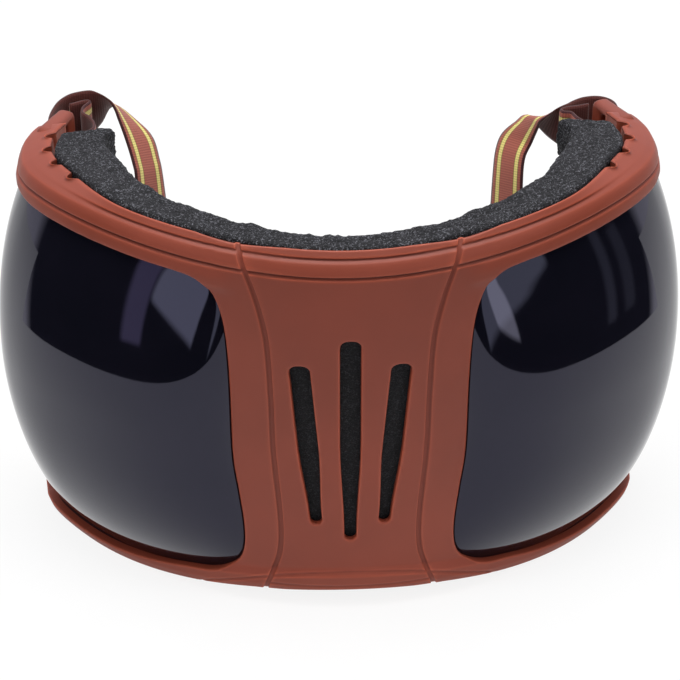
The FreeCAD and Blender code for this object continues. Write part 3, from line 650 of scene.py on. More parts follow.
def mesh_from(name, points, faces):
    """Smooth-shaded mesh of points in metres."""
    mesh = bpy.data.meshes.new(name)
    mesh.from_pydata([tuple(point) for point in points], [], faces)
    mesh.validate()
    mesh.shade_smooth()
    return mesh


def split_book(book, names, finish):
    """One object per owner, with the normals of the whole so that no seam shows."""
    points = np.vstack(book.points)
    whole = mesh_from("whole", points, book.faces)
    normals = np.zeros(len(points) * 3, np.float32)
    whole.vertices.foreach_get("normal", normals)
    normals = normals.reshape(-1, 3)
    made = {}
    for owner, name in names.items():
        faces = [face for face, held in zip(book.faces, book.owners) if held == owner]
        used = sorted({corner for face in faces for corner in face})
        place = {old: new for new, old in enumerate(used)}
        mesh = bpy.data.meshes.new(name)
        mesh.from_pydata([tuple(points[old]) for old in used], [],
                         [tuple(place[corner] for corner in face) for face in faces])
        mesh.shade_smooth()
        mesh.normals_split_custom_set_from_vertices([tuple(normals[old]) for old in used])
        made[owner] = link(name, mesh, finish)
    bpy.data.meshes.remove(whole)
    return made


# Materials


def linear(text):
    """Linear colour of an sRGB hex value."""
    values = [int(text[k:k + 2], 16) / 255 for k in (1, 3, 5)]
    return tuple(v / 12.92 if v <= 0.04045 else ((v + 0.055) / 1.055) ** 2.4
                 for v in values) + (1.0,)


def add(tree, kind, settings=None, links=None, stops=()):
    """A node with its settings, its links and, for a colour ramp, its (place, colour) stops."""
    node = tree.nodes.new(kind)
    for key, value in (settings or {}).items():
        if isinstance(key, int) or key in node.inputs:
            node.inputs[key].default_value = value
        else:
            setattr(node, key, value)
    for key, source in (links or {}).items():
        tree.links.new(source, node.inputs[key])
    while stops and len(node.color_ramp.elements) < len(stops):
        node.color_ramp.elements.new(0.5)
    for element, (spot, colour) in zip(node.color_ramp.elements if stops else (), stops):
        element.position = spot
        element.color = colour if isinstance(colour, tuple) else (colour, colour, colour, 1)
    return node


def material(name):
    """An empty material: itself, its nodes, its output node and the place on the object."""
    made = bpy.data.materials.new(name)
    made.use_nodes = True
    tree = made.node_tree
    tree.nodes.clear()
    output = tree.nodes.new("ShaderNodeOutputMaterial")
    place = tree.nodes.new("ShaderNodeTexCoord").outputs["Object"]
    return made, tree, output, place


# Real sizes of the patterns, in mm. A wave texture at scale 1 has its bands this far apart.
WAVE_SPACING = 2 * math.pi / 20
# Cloudy tone of the moulding and faint haze of the lens: how far apart the light places are
CLOUD, HAZE = 45.0, 17.0
# The moulding's tool texture is about 0.15 mm; it is drawn at 0.9 mm so that it shows
TOOL_TEXTURE = 0.9
# The buckle's spark-eroded texture is about 0.1 mm; it is drawn at 0.7 mm so that it shows
BUCKLE_TEXTURE = 0.7
# Cells of the coarse gasket foam, and of the fine filter foam, whose real cells of 0.5 mm are
# drawn at 0.9 mm so that they show
GASKET_CELL, FILTER_CELL = 0.95, 0.9
# The webbing's picks are about 0.6 mm apart and its ends 0.4 mm; both are drawn nearly twice
# as coarse so that they show
PICK_SPACING, END_SPACING = 1.12, 0.75
# Turns of the sewing thread's twist
TWIST_SPACING = 0.44


def moulded_polyurethane():
    """Soft moulded polyurethane: warm brick red, satin, with a fine tool texture, painted
    highlights on its edges and painted shade in its folds.
    """
    made, tree, output, place = material("moulded_polyurethane")
    cloudy = add(tree, "ShaderNodeTexNoise", {"Scale": 1 / (CLOUD * MM), "Detail": 3.0},
                 {"Vector": place}).outputs["Fac"]
    tone = add(tree, "ShaderNodeValToRGB", links={"Fac": cloudy},
               stops=((0.32, linear("#803826")), (0.68, linear("#893e2c"))))
    grain = add(tree, "ShaderNodeTexNoise", {"Scale": 1 / (TOOL_TEXTURE * MM), "Detail": 2.0},
                {"Vector": place})
    bump = add(tree, "ShaderNodeBump", {"Strength": 0.08, "Distance": 0.15 * MM},
               {"Height": grain.outputs["Fac"]})
    rough = add(tree, "ShaderNodeValToRGB", links={"Fac": cloudy}, stops=((0.3, 0.46), (0.7, 0.54)))
    # Painted light: sharp convex edges are painted paler as a highlight, and folds and creases are
    # painted darker as shade
    bend = add(tree, "ShaderNodeNewGeometry").outputs["Pointiness"]
    edges = add(tree, "ShaderNodeValToRGB", links={"Fac": bend},
                stops=((0.44, 0.75), (0.5, 0.0), (0.56, 1.0)))
    painted_fold_shade_and_edge_light = add(tree, "ShaderNodeValToRGB", links={"Fac": bend},
                 stops=((0.45, linear("#5f281c")), (0.55, linear("#b4563c"))))
    tone = add(tree, "ShaderNodeMix", {"data_type": "RGBA"},
               {0: edges.outputs["Color"], 6: tone.outputs["Color"], 7: painted_fold_shade_and_edge_light.outputs["Color"]})
    shader = add(tree, "ShaderNodeBsdfPrincipled", {"IOR": 1.5, "Specular IOR Level": 0.36},
                 {"Base Color": tone.outputs[2], "Roughness": rough.outputs["Color"],
                  "Normal": bump.outputs["Normal"]})
    tree.links.new(shader.outputs["BSDF"], output.inputs["Surface"])
    return made


def smoked_polycarbonate():
    """Polished smoked polycarbonate: nearly black, with a clear mirror of the studio."""
    made, tree, output, place = material("smoked_polycarbonate")
    haze = add(tree, "ShaderNodeTexNoise", {"Scale": 1 / (HAZE * MM), "Detail": 2.0},
               {"Vector": place}).outputs["Fac"]
    rough = add(tree, "ShaderNodeValToRGB", links={"Fac": haze}, stops=((0.3, 0.03), (0.8, 0.05)))
    tint = add(tree, "ShaderNodeValToRGB", links={"Fac": haze},
               stops=((0.3, linear("#0b0b12")), (0.8, linear("#0f0e16"))))
    shader = add(tree, "ShaderNodeBsdfPrincipled",
                 {"IOR": 1.7, "Specular Tint": (0.46, 0.45, 0.62, 1.0)},
                 {"Base Color": tint.outputs["Color"], "Roughness": rough.outputs["Color"]})
    tree.links.new(shader.outputs["BSDF"], output.inputs["Surface"])
    return made


def open_cell_foam(name, dark, middle, light, cell):
    """Cut open-cell polyester foam: grey struts round pits, with painted shade darkening the pits
    and painted glints brightening the struts.
    """
    made, tree, output, place = material(name)
    warp = add(tree, "ShaderNodeTexNoise", {"Scale": 0.35 / cell, "Detail": 2.0},
               {"Vector": place})
    struts = add(tree, "ShaderNodeTexVoronoi",
                 {"feature": "DISTANCE_TO_EDGE", "Scale": 1 / cell, "Randomness": 1.0},
                 {"Vector": place})
    cells = add(tree, "ShaderNodeTexVoronoi", {"Scale": 1.4 / cell}, {"Vector": place})
    strut = add(tree, "ShaderNodeValToRGB", links={"Fac": struts.outputs["Distance"]},
                stops=((0.0, 1.0), (0.2, 0.45), (0.5, 0.0))).outputs["Color"]
    # Painted glints: each cell's struts get a random brightness, and the brightest take the light
    # colour
    painted_glint = add(tree, "ShaderNodeValToRGB", links={"Fac": cells.outputs["Color"]},
                stops=((0.3, 0.3), (0.85, 1.0)))
    mixed = add(tree, "ShaderNodeMath", {"operation": "MULTIPLY"},
                {0: strut, 1: painted_glint.outputs["Color"]})
    # The dark colour is painted shade in the pits, and the light one is a painted glint on the
    # struts
    tone = add(tree, "ShaderNodeValToRGB", links={"Fac": mixed.outputs["Value"]},
               stops=((0.0, dark), (0.5, middle), (1.0, light)))
    height = add(tree, "ShaderNodeMath", {"operation": "MULTIPLY"},
                 {0: strut, 1: warp.outputs["Fac"]})
    bump = add(tree, "ShaderNodeBump", {"Strength": 0.9, "Distance": 0.5 * cell},
               {"Height": height.outputs["Value"]})
    shader = add(tree, "ShaderNodeBsdfPrincipled", {"Roughness": 0.75, "Specular IOR Level": 0.3},
                 {"Base Color": tone.outputs["Color"], "Normal": bump.outputs["Normal"]})
    tree.links.new(shader.outputs["BSDF"], output.inputs["Surface"])
    return made


def woven_elastic():
    """Woven elastic webbing: red-brown ribs, two yellow stripes, dark maroon selvedges, and a plain
    back face painted dark as shade.
    """
    made, tree, output = material("woven_elastic")[:3]
    weave = add(tree, "ShaderNodeAttribute", {"attribute_name": "weave_mm"}).outputs["Vector"]
    across = add(tree, "ShaderNodeSeparateXYZ", links={"Vector": weave})
    side = add(tree, "ShaderNodeMath", {"operation": "DIVIDE", 1: STRAP_WIDTH},
               {0: across.outputs["X"]})
    edge, red = linear("#4a1d22"), linear("#b25f4e")
    olive, yellow = linear("#8a7433"), linear("#f6e68a")
    stripes = add(tree, "ShaderNodeValToRGB", links={"Fac": side.outputs["Value"]},
                  stops=((0.0, edge), (0.05, red), (0.135, olive), (0.155, yellow), (0.265, olive),
                         (0.285, red), (0.715, olive), (0.735, yellow), (0.845, olive),
                         (0.865, red), (0.95, edge)))
    stripes.color_ramp.interpolation = "CONSTANT"
    # The back face is drawn plain and dark without the stripes: painted shade, as that face lies in
    # shade
    faces = add(tree, "ShaderNodeMix", {"data_type": "RGBA", 7: linear("#5e2a24")},
                {0: across.outputs["Z"], 6: stripes.outputs["Color"]})
    picks, ends = (
        add(tree, "ShaderNodeTexWave",
            {"bands_direction": way, "Scale": WAVE_SPACING / spacing, "Distortion": bend,
             "Detail": 1.0, "Detail Scale": 3.0}, {"Vector": weave})
        for way, spacing, bend in (("Y", PICK_SPACING, 0.6), ("X", END_SPACING, 0.4)))
    height = add(tree, "ShaderNodeMath", {"operation": "MULTIPLY"},
                 {0: picks.outputs["Fac"], 1: ends.outputs["Fac"]})
    shade = add(tree, "ShaderNodeValToRGB", links={"Fac": height.outputs["Value"]},
                stops=((0.0, 0.62), (0.6, 1.0)))
    tone = add(tree, "ShaderNodeMix", {"data_type": "RGBA", "blend_type": "MULTIPLY", 0: 1.0},
               {6: faces.outputs[2], 7: shade.outputs["Color"]})
    bump = add(tree, "ShaderNodeBump", {"Strength": 0.5, "Distance": 0.2 * MM},
               {"Height": height.outputs["Value"]})
    shader = add(tree, "ShaderNodeBsdfPrincipled",
                 {"Roughness": 0.7, "Specular IOR Level": 0.3, "Sheen Weight": 0.15},
                 {"Base Color": tone.outputs[2], "Normal": bump.outputs["Normal"]})
    tree.links.new(shader.outputs["BSDF"], output.inputs["Surface"])
    return made


def sewing_thread():
    """Twisted polyester sewing thread, olive yellow, a little fluffy."""
    made, tree, output, place = material("sewing_thread")
    twist = add(tree, "ShaderNodeTexWave",
                {"bands_direction": "DIAGONAL", "Scale": WAVE_SPACING / (TWIST_SPACING * MM),
                 "Distortion": 1.0}, {"Vector": place}).outputs["Fac"]
    tone = add(tree, "ShaderNodeValToRGB", links={"Fac": twist},
               stops=((0.0, linear("#6d5a1e")), (0.7, linear("#a8923a"))))
    bump = add(tree, "ShaderNodeBump", {"Strength": 0.4, "Distance": 0.1 * MM}, {"Height": twist})
    shader = add(tree, "ShaderNodeBsdfPrincipled", {"Roughness": 0.8, "Sheen Weight": 0.2},
                 {"Base Color": tone.outputs["Color"], "Normal": bump.outputs["Normal"]})
    tree.links.new(shader.outputs["BSDF"], output.inputs["Surface"])
    return made


def moulded_acetal():
    """Moulded acetal: black, with a fine spark-eroded texture and softly rounded edges."""
    made, tree, output, place = material("moulded_acetal")
    grain = add(tree, "ShaderNodeTexNoise", {"Scale": 1 / (BUCKLE_TEXTURE * MM), "Detail": 3.0},
                {"Vector": place}).outputs["Fac"]
    edges = add(tree, "ShaderNodeBevel", {"samples": 4, "Radius": 0.5 * MM})
    bump = add(tree, "ShaderNodeBump", {"Strength": 0.2, "Distance": 0.1 * MM},
               {"Height": grain, "Normal": edges.outputs["Normal"]})
    tone = add(tree, "ShaderNodeValToRGB", links={"Fac": grain},
               stops=((0.3, linear("#1a1a1c")), (0.7, linear("#26262a"))))
    shader = add(tree, "ShaderNodeBsdfPrincipled", {"Roughness": 0.42, "IOR": 1.48},
                 {"Base Color": tone.outputs["Color"], "Normal": bump.outputs["Normal"]})
    tree.links.new(shader.outputs["BSDF"], output.inputs["Surface"])
    return made


RUBBER = moulded_polyurethane()
SMOKE = smoked_polycarbonate()
# Each foam's last colour is a painted glint and its first is painted shade in the pits; the
# filter's colours are darker still, as painted shade for where it lies behind the vents
GASKET = open_cell_foam("open_cell_foam", linear("#08080a"), linear("#19191c"),
                        linear("#6e6e75"), GASKET_CELL * MM)
FILTER = open_cell_foam("fine_filter_foam", linear("#08080a"), linear("#151517"),
                        linear("#38383c"), FILTER_CELL * MM)
WEBBING = woven_elastic()
THREAD = sewing_thread()
ACETAL = moulded_acetal()

# The frame

SIDES = (("right", RIGHT), ("left", LEFT))


def flex(piece, side):
    """Bakes a wing piece's placement into its mesh."""
    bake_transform(piece)


book = MeshBook()
FrameGrid(book).build()
for name, side in SIDES:
    strap_post(book, side, name)
moulding = split_book(book, {"nose": "nose_moulding", "right": "right_wing_moulding",
                             "left": "left_wing_moulding"}, RUBBER)
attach(moulding["nose"], "center")
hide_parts("nose_frame")
for name, side in SIDES:
    flex(moulding[name], side)
    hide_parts(name + "_wing_frame")

# Lenses

LENS_BULGE, SIDE_SWELL = 18.0, 2.2
LENS_DROP, LENS_FOOT = 11.3, 1.8
LENS_SEAT_FRONT, LENS_SEAT_BACK = 2.3, 4.7
# Spans of columns, each from a run to a run in a count, closest where the lens bends most
LENS_COLUMNS = ((LENS_START, 62, 37), (63.3, 190, 90), (190.9, LENS_STOP, 12))
LENS_ROWS = 120
# The dome stands between these distances from the top and the bottom of the frame
DOME_DROP, DOME_LIFT = 14.0, 5.0
# Below its middle the dome is blunter, and least so at the side
LOW_BLUNT, LOW_BLUNT_LOSS, TOP_BLUNT = 3.2, 1.2, 2
NOSE_EDGE = smooth_line(WINDOW_NOSE_EDGE[::-1], 8)
NOSE_EDGE = NOSE_EDGE[np.argsort(NOSE_EDGE[:, 1])]


def dome(run, height):
    """Height of the lens over its seat; it springs from the edge of the opening."""
    first = np.interp(height, NOSE_EDGE[:, 1], NOSE_EDGE[:, 0]) - 0.6
    share = 2 * np.clip((run - first) / (WINDOW_END + 1 - first), 0, 1) - 1
    high, low = top(run) - DOME_DROP, bottom(run) + DOME_LIFT
    lift = 2 * np.clip((height - low) / (high - low), 0, 1) - 1
    blunt = np.where(lift < 0, LOW_BLUNT - LOW_BLUNT_LOSS * ease((run - 130) / 45), TOP_BLUNT)
    crown = (1 - np.abs(share) ** 3) ** 0.7 * (1 - np.abs(lift) ** blunt)
    side = arm_pull(run) + SIDE_SWELL * ease((run - 90) / 60)
    side = side * (1 - np.where(lift < 0, lift ** 2, lift ** 4)) * (1 - np.abs(share) ** 7)
    return LENS_BULGE * crown + side


def make_lens(name, side):
    """Thin dome with closed edges."""
    runs = np.concatenate([np.linspace(*span) for span in LENS_COLUMNS])
    share = (1 - np.cos(np.linspace(0, math.pi, LENS_ROWS))) / 2
    high, low = top(runs) - LENS_DROP, bottom(runs) + LENS_FOOT
    height = low[:, None] + (high - low)[:, None] * share[None, :]
    run = np.repeat(runs[:, None], len(share), axis=1)
    bulge = dome(run, height)
    book = MeshBook()
    front = book.add_points(at(run * side, LENS_SEAT_FRONT - bulge, height)).reshape(run.shape)
    back = book.add_points(at(run * side, LENS_SEAT_BACK - bulge, height)).reshape(run.shape)
    columns, rows = run.shape
    quads = []
    for i in range(columns - 1):
        for j in range(rows - 1):
            quads.append((front[i, j], front[i + 1, j], front[i + 1, j + 1], front[i, j + 1]))
            quads.append((back[i, j + 1], back[i + 1, j + 1], back[i + 1, j], back[i, j]))
        quads.append((front[i, 0], back[i, 0], back[i + 1, 0], front[i + 1, 0]))
        quads.append((front[i + 1, -1], back[i + 1, -1], back[i, -1], front[i, -1]))
    for j in range(rows - 1):
        quads.append((front[0, j + 1], back[0, j + 1], back[0, j], front[0, j]))
        quads.append((front[-1, j], back[-1, j], back[-1, j + 1], front[-1, j + 1]))
    for quad in quads:
        book.add_face(quad if side > 0 else quad[::-1], "lens")
    return link(name, mesh_from(name, np.vstack(book.points), book.faces), SMOKE)


for name, side in SIDES:
    lens = make_lens(name + "_smoked_lens", side)
    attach(lens, name + "_wing")
    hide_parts(name + "_lens")

# Foam

FOAM_HEIGHT, FOAM_PROUD, FOAM_NOSE, FOAM_SIDE, FOAM_STOP = 18.0, 1.5, 13.0, 23.0, 186.0
# The foam leaves the flange by this much, from this run to its end
FOAM_LEAVE, FOAM_LEAVE_START = 3.0, 160
REAR_RUN, REAR_OVERLAP, REAR_THINNER = 20.0, 1.0, 1.0
FOAM_STEP, REAR_STEP = 1.2, 1.25
# Lumps of the cut foam, as (size, height), and the cells that break its surface
LUMPS, CELLS, HIGHEST_LUMP = ((11.0, 1.1), (4.5, 0.55)), (1.15, 0.55), 1.3


def lumps(place, seed, size):
    """Noise between -1 and 1, in lumps of this size."""
    return noise.noise(Vector(place) / (size * MM) + Vector((seed, seed * 2, 0)))


def foam_strip(book, runs, section, seed):
    """Foam along the outer line with a rounded section, lumpy at its inner edge."""
    grid = []
    (broad, broad_height), (small, small_height) = LUMPS
    for run in runs:
        profile = section(abs(run))
        points = at(np.full(len(profile), run), profile[:, 0], profile[:, 1])
        middle = points.mean(axis=0)
        inner = ease((profile[:, 0] - profile[:, 0].mean()) / 6 + 0.5)
        for place, share in zip(points, inner):
            outward = (place - middle) / np.linalg.norm(place - middle)
            coarse = lumps(place, seed, broad) * broad_height
            coarse = coarse + lumps(place, seed + 3, small) * small_height
            push = coarse * share + lumps(place, seed + 7, CELLS[0]) * CELLS[1]
            moved = place + outward * min(push, HIGHEST_LUMP) * MM
            moved[2] = max(moved[2], 0.0)
            grid.append(moved)
    return book.add_points(grid).reshape(len(runs), -1)


def rounded_section(near, far, low, high, round_by, step):
    """Closed rectangle section of (depth, height), with rounded corners."""
    loop = rounded_loop((far - near) / 2, (high - low) / 2, round_by, 4)
    straights = [int(max(2, round(length / step))) for length in (far - near, high - low)]
    dense = []
    for index, (start, end) in enumerate(zip(loop, np.roll(loop, -1, axis=0))):
        # Every fourth line is a straight side, first one along the depth
        parts = straights[index // 4 % 2] if index % 4 == 3 else 1
        for part in range(parts):
            dense.append(start + (end - start) * part / parts)
    return np.array(dense) + ((near + far) / 2, (low + high) / 2)


# Sections of one unit, which foam_section stretches
STRIP_SECTION = rounded_section(0, 1, 0, 1, 0.11, 1 / 17)
REAR_SECTION = rounded_section(0, 1, 0, 1, 0.06, 1 / 40)


def foam_section(shape, run, low, high, thinner=0.0):
    """A unit section stretched to the foam's depth and heights at a run."""
    leave = FOAM_LEAVE * ease((run - FOAM_LEAVE_START) / (FOAM_STOP - FOAM_LEAVE_START))
    near = flange_depth(run) + FIT_GAP + leave
    depth = FOAM_NOSE + (FOAM_SIDE - FOAM_NOSE) * ease(run / FOAM_STOP) - thinner
    return np.stack((near + shape[:, 0] * depth, low + shape[:, 1] * (high - low)), 1)


def foam_top_section(run):
    """The upper strip stands proud of the frame towards the arms."""
    high = top(run) + FOAM_PROUD * ease(run / FOAM_STOP)
    return foam_section(STRIP_SECTION, run, high - FOAM_HEIGHT, high)


def foam_bottom_section(run):
    """The lower strip stands on the frame's bottom edge."""
    low = bottom(run) + FIT_GAP
    return foam_section(STRIP_SECTION, run, low, low + FOAM_HEIGHT)


def foam_rear_section(run):
    """The post between both strips, which reaches a little into each."""
    high = top(run) + FOAM_PROUD - FOAM_HEIGHT + REAR_OVERLAP
    low = bottom(run) + FOAM_HEIGHT - REAR_OVERLAP
    return foam_section(REAR_SECTION, run, low, high, REAR_THINNER)


def close_strip(book, ids, owners):
    """Faces round a strip's rings and over both ends, with one owner for each span."""
    for this, following, owner in zip(ids, ids[1:], owners):
        for corners in ring_quads(this, following):
            book.add_face(corners, owner)
    book.add_face(ids[0], owners[0])
    book.add_face(ids[-1][::-1], owners[-1])


def make_foam(place, section, seed):
    """The top or the bottom strip, cut at the seams of the frame."""
    runs = np.arange(-FOAM_STOP, FOAM_STOP + 0.1, FOAM_STEP)
    runs = np.array(sorted([run for run in runs if abs(abs(run) - SEAM_RUN) > 0.5]
                           + [SEAM_RUN, -SEAM_RUN]))
    book = MeshBook()
    ids = foam_strip(book, runs, section, seed)
    close_strip(book, ids, [owner_of(middle) for middle in (runs[:-1] + runs[1:]) / 2])
    pieces = split_book(book, {owner: owner + "_gasket_" + place
                               for owner in ("nose", "right", "left")}, GASKET)
    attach(pieces["nose"], "center")
    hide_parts("nose_foam_" + place)
    for name, side in SIDES:
        flex(pieces[name], side)
        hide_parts(name + "_foam_" + place)


make_foam("top", foam_top_section, 1.0)
make_foam("bottom", foam_bottom_section, 5.0)

for name, side in SIDES:
    runs = np.arange(FOAM_STOP - REAR_RUN, FOAM_STOP + 0.1, REAR_STEP) * side
    if side < 0:
        runs = runs[::-1]
    book = MeshBook()
    ids = foam_strip(book, runs, foam_rear_section, 9.0)
    close_strip(book, ids, [name] * len(runs))
    rear = split_book(book, {name: name + "_gasket_rear"}, GASKET)[name]
    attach(rear, name + "_wing")
    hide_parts(name + "_foam_rear")


FILTER_HALF_WIDTH, FILTER_LOW, FILTER_HIGH, FILTER_THICKNESS = 29.7, 29.0, 136.5, 3.0


def make_filter():
    """Sheet of fine foam behind the vents."""
    runs = np.arange(-FILTER_HALF_WIDTH, FILTER_HALF_WIDTH + 0.1, 1.1)
    book = MeshBook()
    near = PANEL_THICKNESS + FIT_GAP
    profile = rounded_section(near, near + FILTER_THICKNESS, FILTER_LOW, FILTER_HIGH, 1.0, 1.3)
    ids = foam_strip(book, runs, lambda run: profile, 13.0)
    close_strip(book, ids, ["nose"] * len(runs))
    return split_book(book, {"nose": "vent_filter_foam"}, FILTER)["nose"]


vent_foam = make_filter()
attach(vent_foam, "center")
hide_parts("vent_filter")

# Straps: the routes of the part's own webbing. A place is given from the post, inward and
# back in shares of the strap's reach. A loop's third value lifts it, a fall's third value is
# its height as a share of the loop's, and its fourth the direction across the webbing

LYING_TURN = math.radians(64)
BUCKLE_THICKNESS, BAR_RADIUS = 9.0, 1.6
RIGHT_LOOP = (
    (0.045, 0.112), (0.100, 0.092), (0.146, 0.082), (0.174, 0.062), (0.166, 0.038),
    (0.132, 0.030), (0.115, -0.020), (0.078, -0.075), (0.020, -0.088), (-0.030, -0.074),
    (-0.062, -0.036), (-0.074, 0.020), (-0.076, 0.080), (-0.066, 0.134), (-0.036, 0.174),
    (0.008, 0.189), (0.064, 0.176), (0.112, 0.140), (0.144, 0.108),
)
LEFT_LOOP = (
    (0.010, 0.220), (0.045, 0.240), (0.082, 0.260), (0.099, 0.249), (0.090, 0.226),
    (0.070, 0.185), (0.070, 0.135), (0.102, 0.085), (0.126, 0.020), (0.118, -0.042),
    (0.076, -0.076), (0.026, -0.082), (-0.024, -0.076), (-0.059, -0.044), (-0.070, 0.010),
    (-0.072, 0.080), (-0.060, 0.155, 0.5), (-0.036, 0.225, 1.2), (0.005, 0.273, 2.0),
    (0.050, 0.289, 2.6), (0.094, 0.288, 3.2),
)
RIGHT_FALL = (
    (0.190, 0.124, 1.005, (0.1, -0.4, 0.9)), (0.273, 0.169, 1.01, (0.21, -0.92, 0.34)),
    (0.307, 0.203, 0.975, (0.39, -0.88, 0.27)), (0.346, 0.227, 0.924, (0.54, -0.83, 0.15)),
    (0.375, 0.205, 0.881, (0.53, -0.83, 0.19)), (0.387, 0.169, 0.818, (0.54, -0.81, 0.22)),
    (0.392, 0.135, 0.695, (0.6, -0.78, 0.15)), (0.395, 0.100, 0.53, (0.75, -0.66, 0)),
    (0.397, 0.070, 0.33, (0.85, -0.52, 0)),
)
LEFT_FALL = (
    (0.139, 0.310, 1.026, (0, -0.45, 0.89)), (0.196, 0.316, 1.036, (0, -0.88, 0.47)),
    (0.269, 0.295, 0.981, (0.39, -0.82, 0.42)), (0.314, 0.258, 0.932, (0.52, -0.8, 0.27)),
    (0.339, 0.215, 0.877, (0.53, -0.78, 0.3)), (0.349, 0.190, 0.84, (0.54, -0.78, 0.3)),
    (0.359, 0.155, 0.728, (0.6, -0.78, 0.15)), (0.372, 0.115, 0.563, (0.75, -0.66, 0)),
    (0.385, 0.075, 0.364, (0.85, -0.52, 0)),
)
# Where the webbing meets the table, lies on it, and folds back from the buckle's bar
FOOT = ((-0.1, 0.16), (-0.08, 0.06), (0.03, 0.008))
LYING = (0.15, 0.4, 0.65, 0.84)
TAIL = ((0.14, 0.2), (0.32, 0.8), (0.45, 1), (0.7, 1), (1, 1))
LYING_RUN, TAIL_RUN = 46.0, 26.0
KEEPER_WALL, KEEPER_SLACK = 1.4, 0.4


def arm_point(run, depth):
    """Place beyond the right arm's end, in millimetres, at the table's height."""
    x, y, turn = outline(ARM_START)[1:]
    along = run - ARM_START
    return np.array((x + math.cos(turn) * along - math.sin(turn) * depth,
                     y + math.sin(turn) * along + math.cos(turn) * depth, 0.0))


STRAP_MIDDLE = top(ARM_START) - TAB_DROP - STRAP_DROP - STRAP_WIDTH / 2
POST = arm_point(POST_RUN, TAB_DEPTH)
LIE_ALONG = np.array((-math.cos(LYING_TURN), -math.sin(LYING_TURN), 0))
LIE_ACROSS = np.array((math.sin(LYING_TURN), -math.cos(LYING_TURN), 0))
# Where the webbing reaches the table
FOOT_PLACE = POST + (-39.5, 3.5, 0)
BAR_PLACE = FOOT_PLACE + LIE_ALONG * LYING_RUN
LYING_HEIGHT = KEEPER_WALL + KEEPER_SLACK + STRAP_THICKNESS / 2
TAIL_HEIGHT = LYING_HEIGHT + STRAP_THICKNESS + FIT_GAP
WRAP_RADIUS = BAR_RADIUS + FIT_GAP + STRAP_THICKNESS / 2
UP = np.array((0, 0, 1.0))


def strap_route(loop, fall):
    """Middles and width directions of the webbing, from its sewn end to its tail."""
    places, widths = [], []

    def put(place, width):
        places.append(place)
        widths.append(np.array(width, float) / np.linalg.norm(width))

    for inward, back, *lift in loop:
        place = POST + np.array((-inward, back, 0)) * STRAP_REACH
        put(place + UP * (STRAP_MIDDLE + sum(lift)), UP)
    for inward, back, height, width in fall:
        place = POST + np.array((-inward, back, 0)) * STRAP_REACH
        put(place + UP * height * STRAP_MIDDLE, width)
    for along, height in FOOT:
        lift = max(height * STRAP_MIDDLE, LYING_HEIGHT)
        put(FOOT_PLACE + LIE_ALONG * along * LYING_RUN + UP * lift, LIE_ACROSS)
    for share in LYING:
        put(FOOT_PLACE + LIE_ALONG * share * LYING_RUN + UP * LYING_HEIGHT, LIE_ACROSS)
    for step in range(7):
        angle = math.pi * step / 6
        put(BAR_PLACE + LIE_ALONG * math.sin(angle) * WRAP_RADIUS
            + UP * (BUCKLE_THICKNESS / 2 - math.cos(angle) * WRAP_RADIUS), LIE_ACROSS)
    wrap_top = BUCKLE_THICKNESS / 2 + WRAP_RADIUS
    for share, sink in TAIL:
        put(BAR_PLACE - LIE_ALONG * share * TAIL_RUN
            + UP * (wrap_top + (TAIL_HEIGHT - wrap_top) * sink), LIE_ACROSS)
    return np.array(places), np.array(widths)


def even_steps(places, widths, step):
    """Runs, middles and width directions at even steps along a route."""
    fine = smooth_line(places, 12)
    turns = smooth_line(widths, 12)
    lengths = np.linalg.norm(np.diff(fine, axis=0), axis=1)
    runs = np.concatenate(((0,), np.cumsum(lengths)))
    even = np.linspace(0, runs[-1], int(runs[-1] / step))
    line, turn = (np.stack([np.interp(even, runs, values[:, k]) for k in range(3)], 1)
                  for values in (fine, turns))
    return even, line, turn


ALONG_STEP, ACROSS_STEPS = 1.3, 14
# The selvedge is thinner than the middle of the webbing, and both are thinner than the solid
SELVEDGE_SHARE, SKIN = 0.55, 0.1


def make_strap(name, side, loop, fall):
    """Webbing along its route; weave_mm holds the place across, along and which face it is."""
    even, line, turn = even_steps(*strap_route(loop, fall), ALONG_STEP)
    along = np.gradient(line, axis=0)
    along /= np.linalg.norm(along, axis=1)[:, None]
    across = turn / np.linalg.norm(turn, axis=1)[:, None]
    normal = np.cross(along, across)
    normal /= np.linalg.norm(normal, axis=1)[:, None]
    half, thin = STRAP_WIDTH / 2, STRAP_THICKNESS / 2 - SKIN
    shape, weave = [], []
    for face, steps in ((0, range(ACROSS_STEPS + 1)), (1, range(ACROSS_STEPS, -1, -1))):
        for step in steps:
            spot = -half + STRAP_WIDTH * step / ACROSS_STEPS
            squeeze = thin if 0 < step < ACROSS_STEPS else thin * SELVEDGE_SHARE
            shape.append((spot, -squeeze if face else squeeze))
            weave.append((spot + half, face))
    shape, weave, count = np.array(shape), np.array(weave), len(shape)
    points = (line[:, None, :] + across[:, None, :] * shape[None, :, :1]
              + normal[:, None, :] * shape[None, :, 1:])
    points[..., 0] *= side
    points *= MM
    ids = np.arange(len(line) * count).reshape(-1, count).tolist()
    faces = [face for rings in zip(ids, ids[1:]) for face in ring_quads(*rings)]
    faces += [ids[0], ids[-1][::-1]]
    if side < 0:
        faces = [face[::-1] for face in faces]
    mesh = mesh_from(name, points.reshape(-1, 3), faces)
    values = np.zeros((len(line), count, 3), np.float32)
    values[..., 0] = weave[None, :, 0]
    values[..., 1] = even[:, None]
    values[..., 2] = weave[None, :, 1]
    attribute = mesh.attributes.new("weave_mm", "FLOAT_VECTOR", "POINT")
    attribute.data.foreach_set("vector", values.ravel())
    return link(name, mesh, WEBBING)


for name, side, loop, fall in (("right", RIGHT, RIGHT_LOOP, RIGHT_FALL),
                               ("left", LEFT, LEFT_LOOP, LEFT_FALL)):
    strap = make_strap(name + "_elastic_strap", side, loop, fall)
    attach(strap, name + "_strap_half")
    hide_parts(name + "_strap")

# Stitching: rows of thread through the sewn end, and loose ends below it

THREAD_RADIUS, THREAD_PROUD, FRAY_RADIUS, FRAYS = 0.28, 0.15, 0.2, 16
ZIGZAG_HEIGHT, ZIGZAG_TURNS, ZIGZAG_SWAY = 16, 14, 1.1


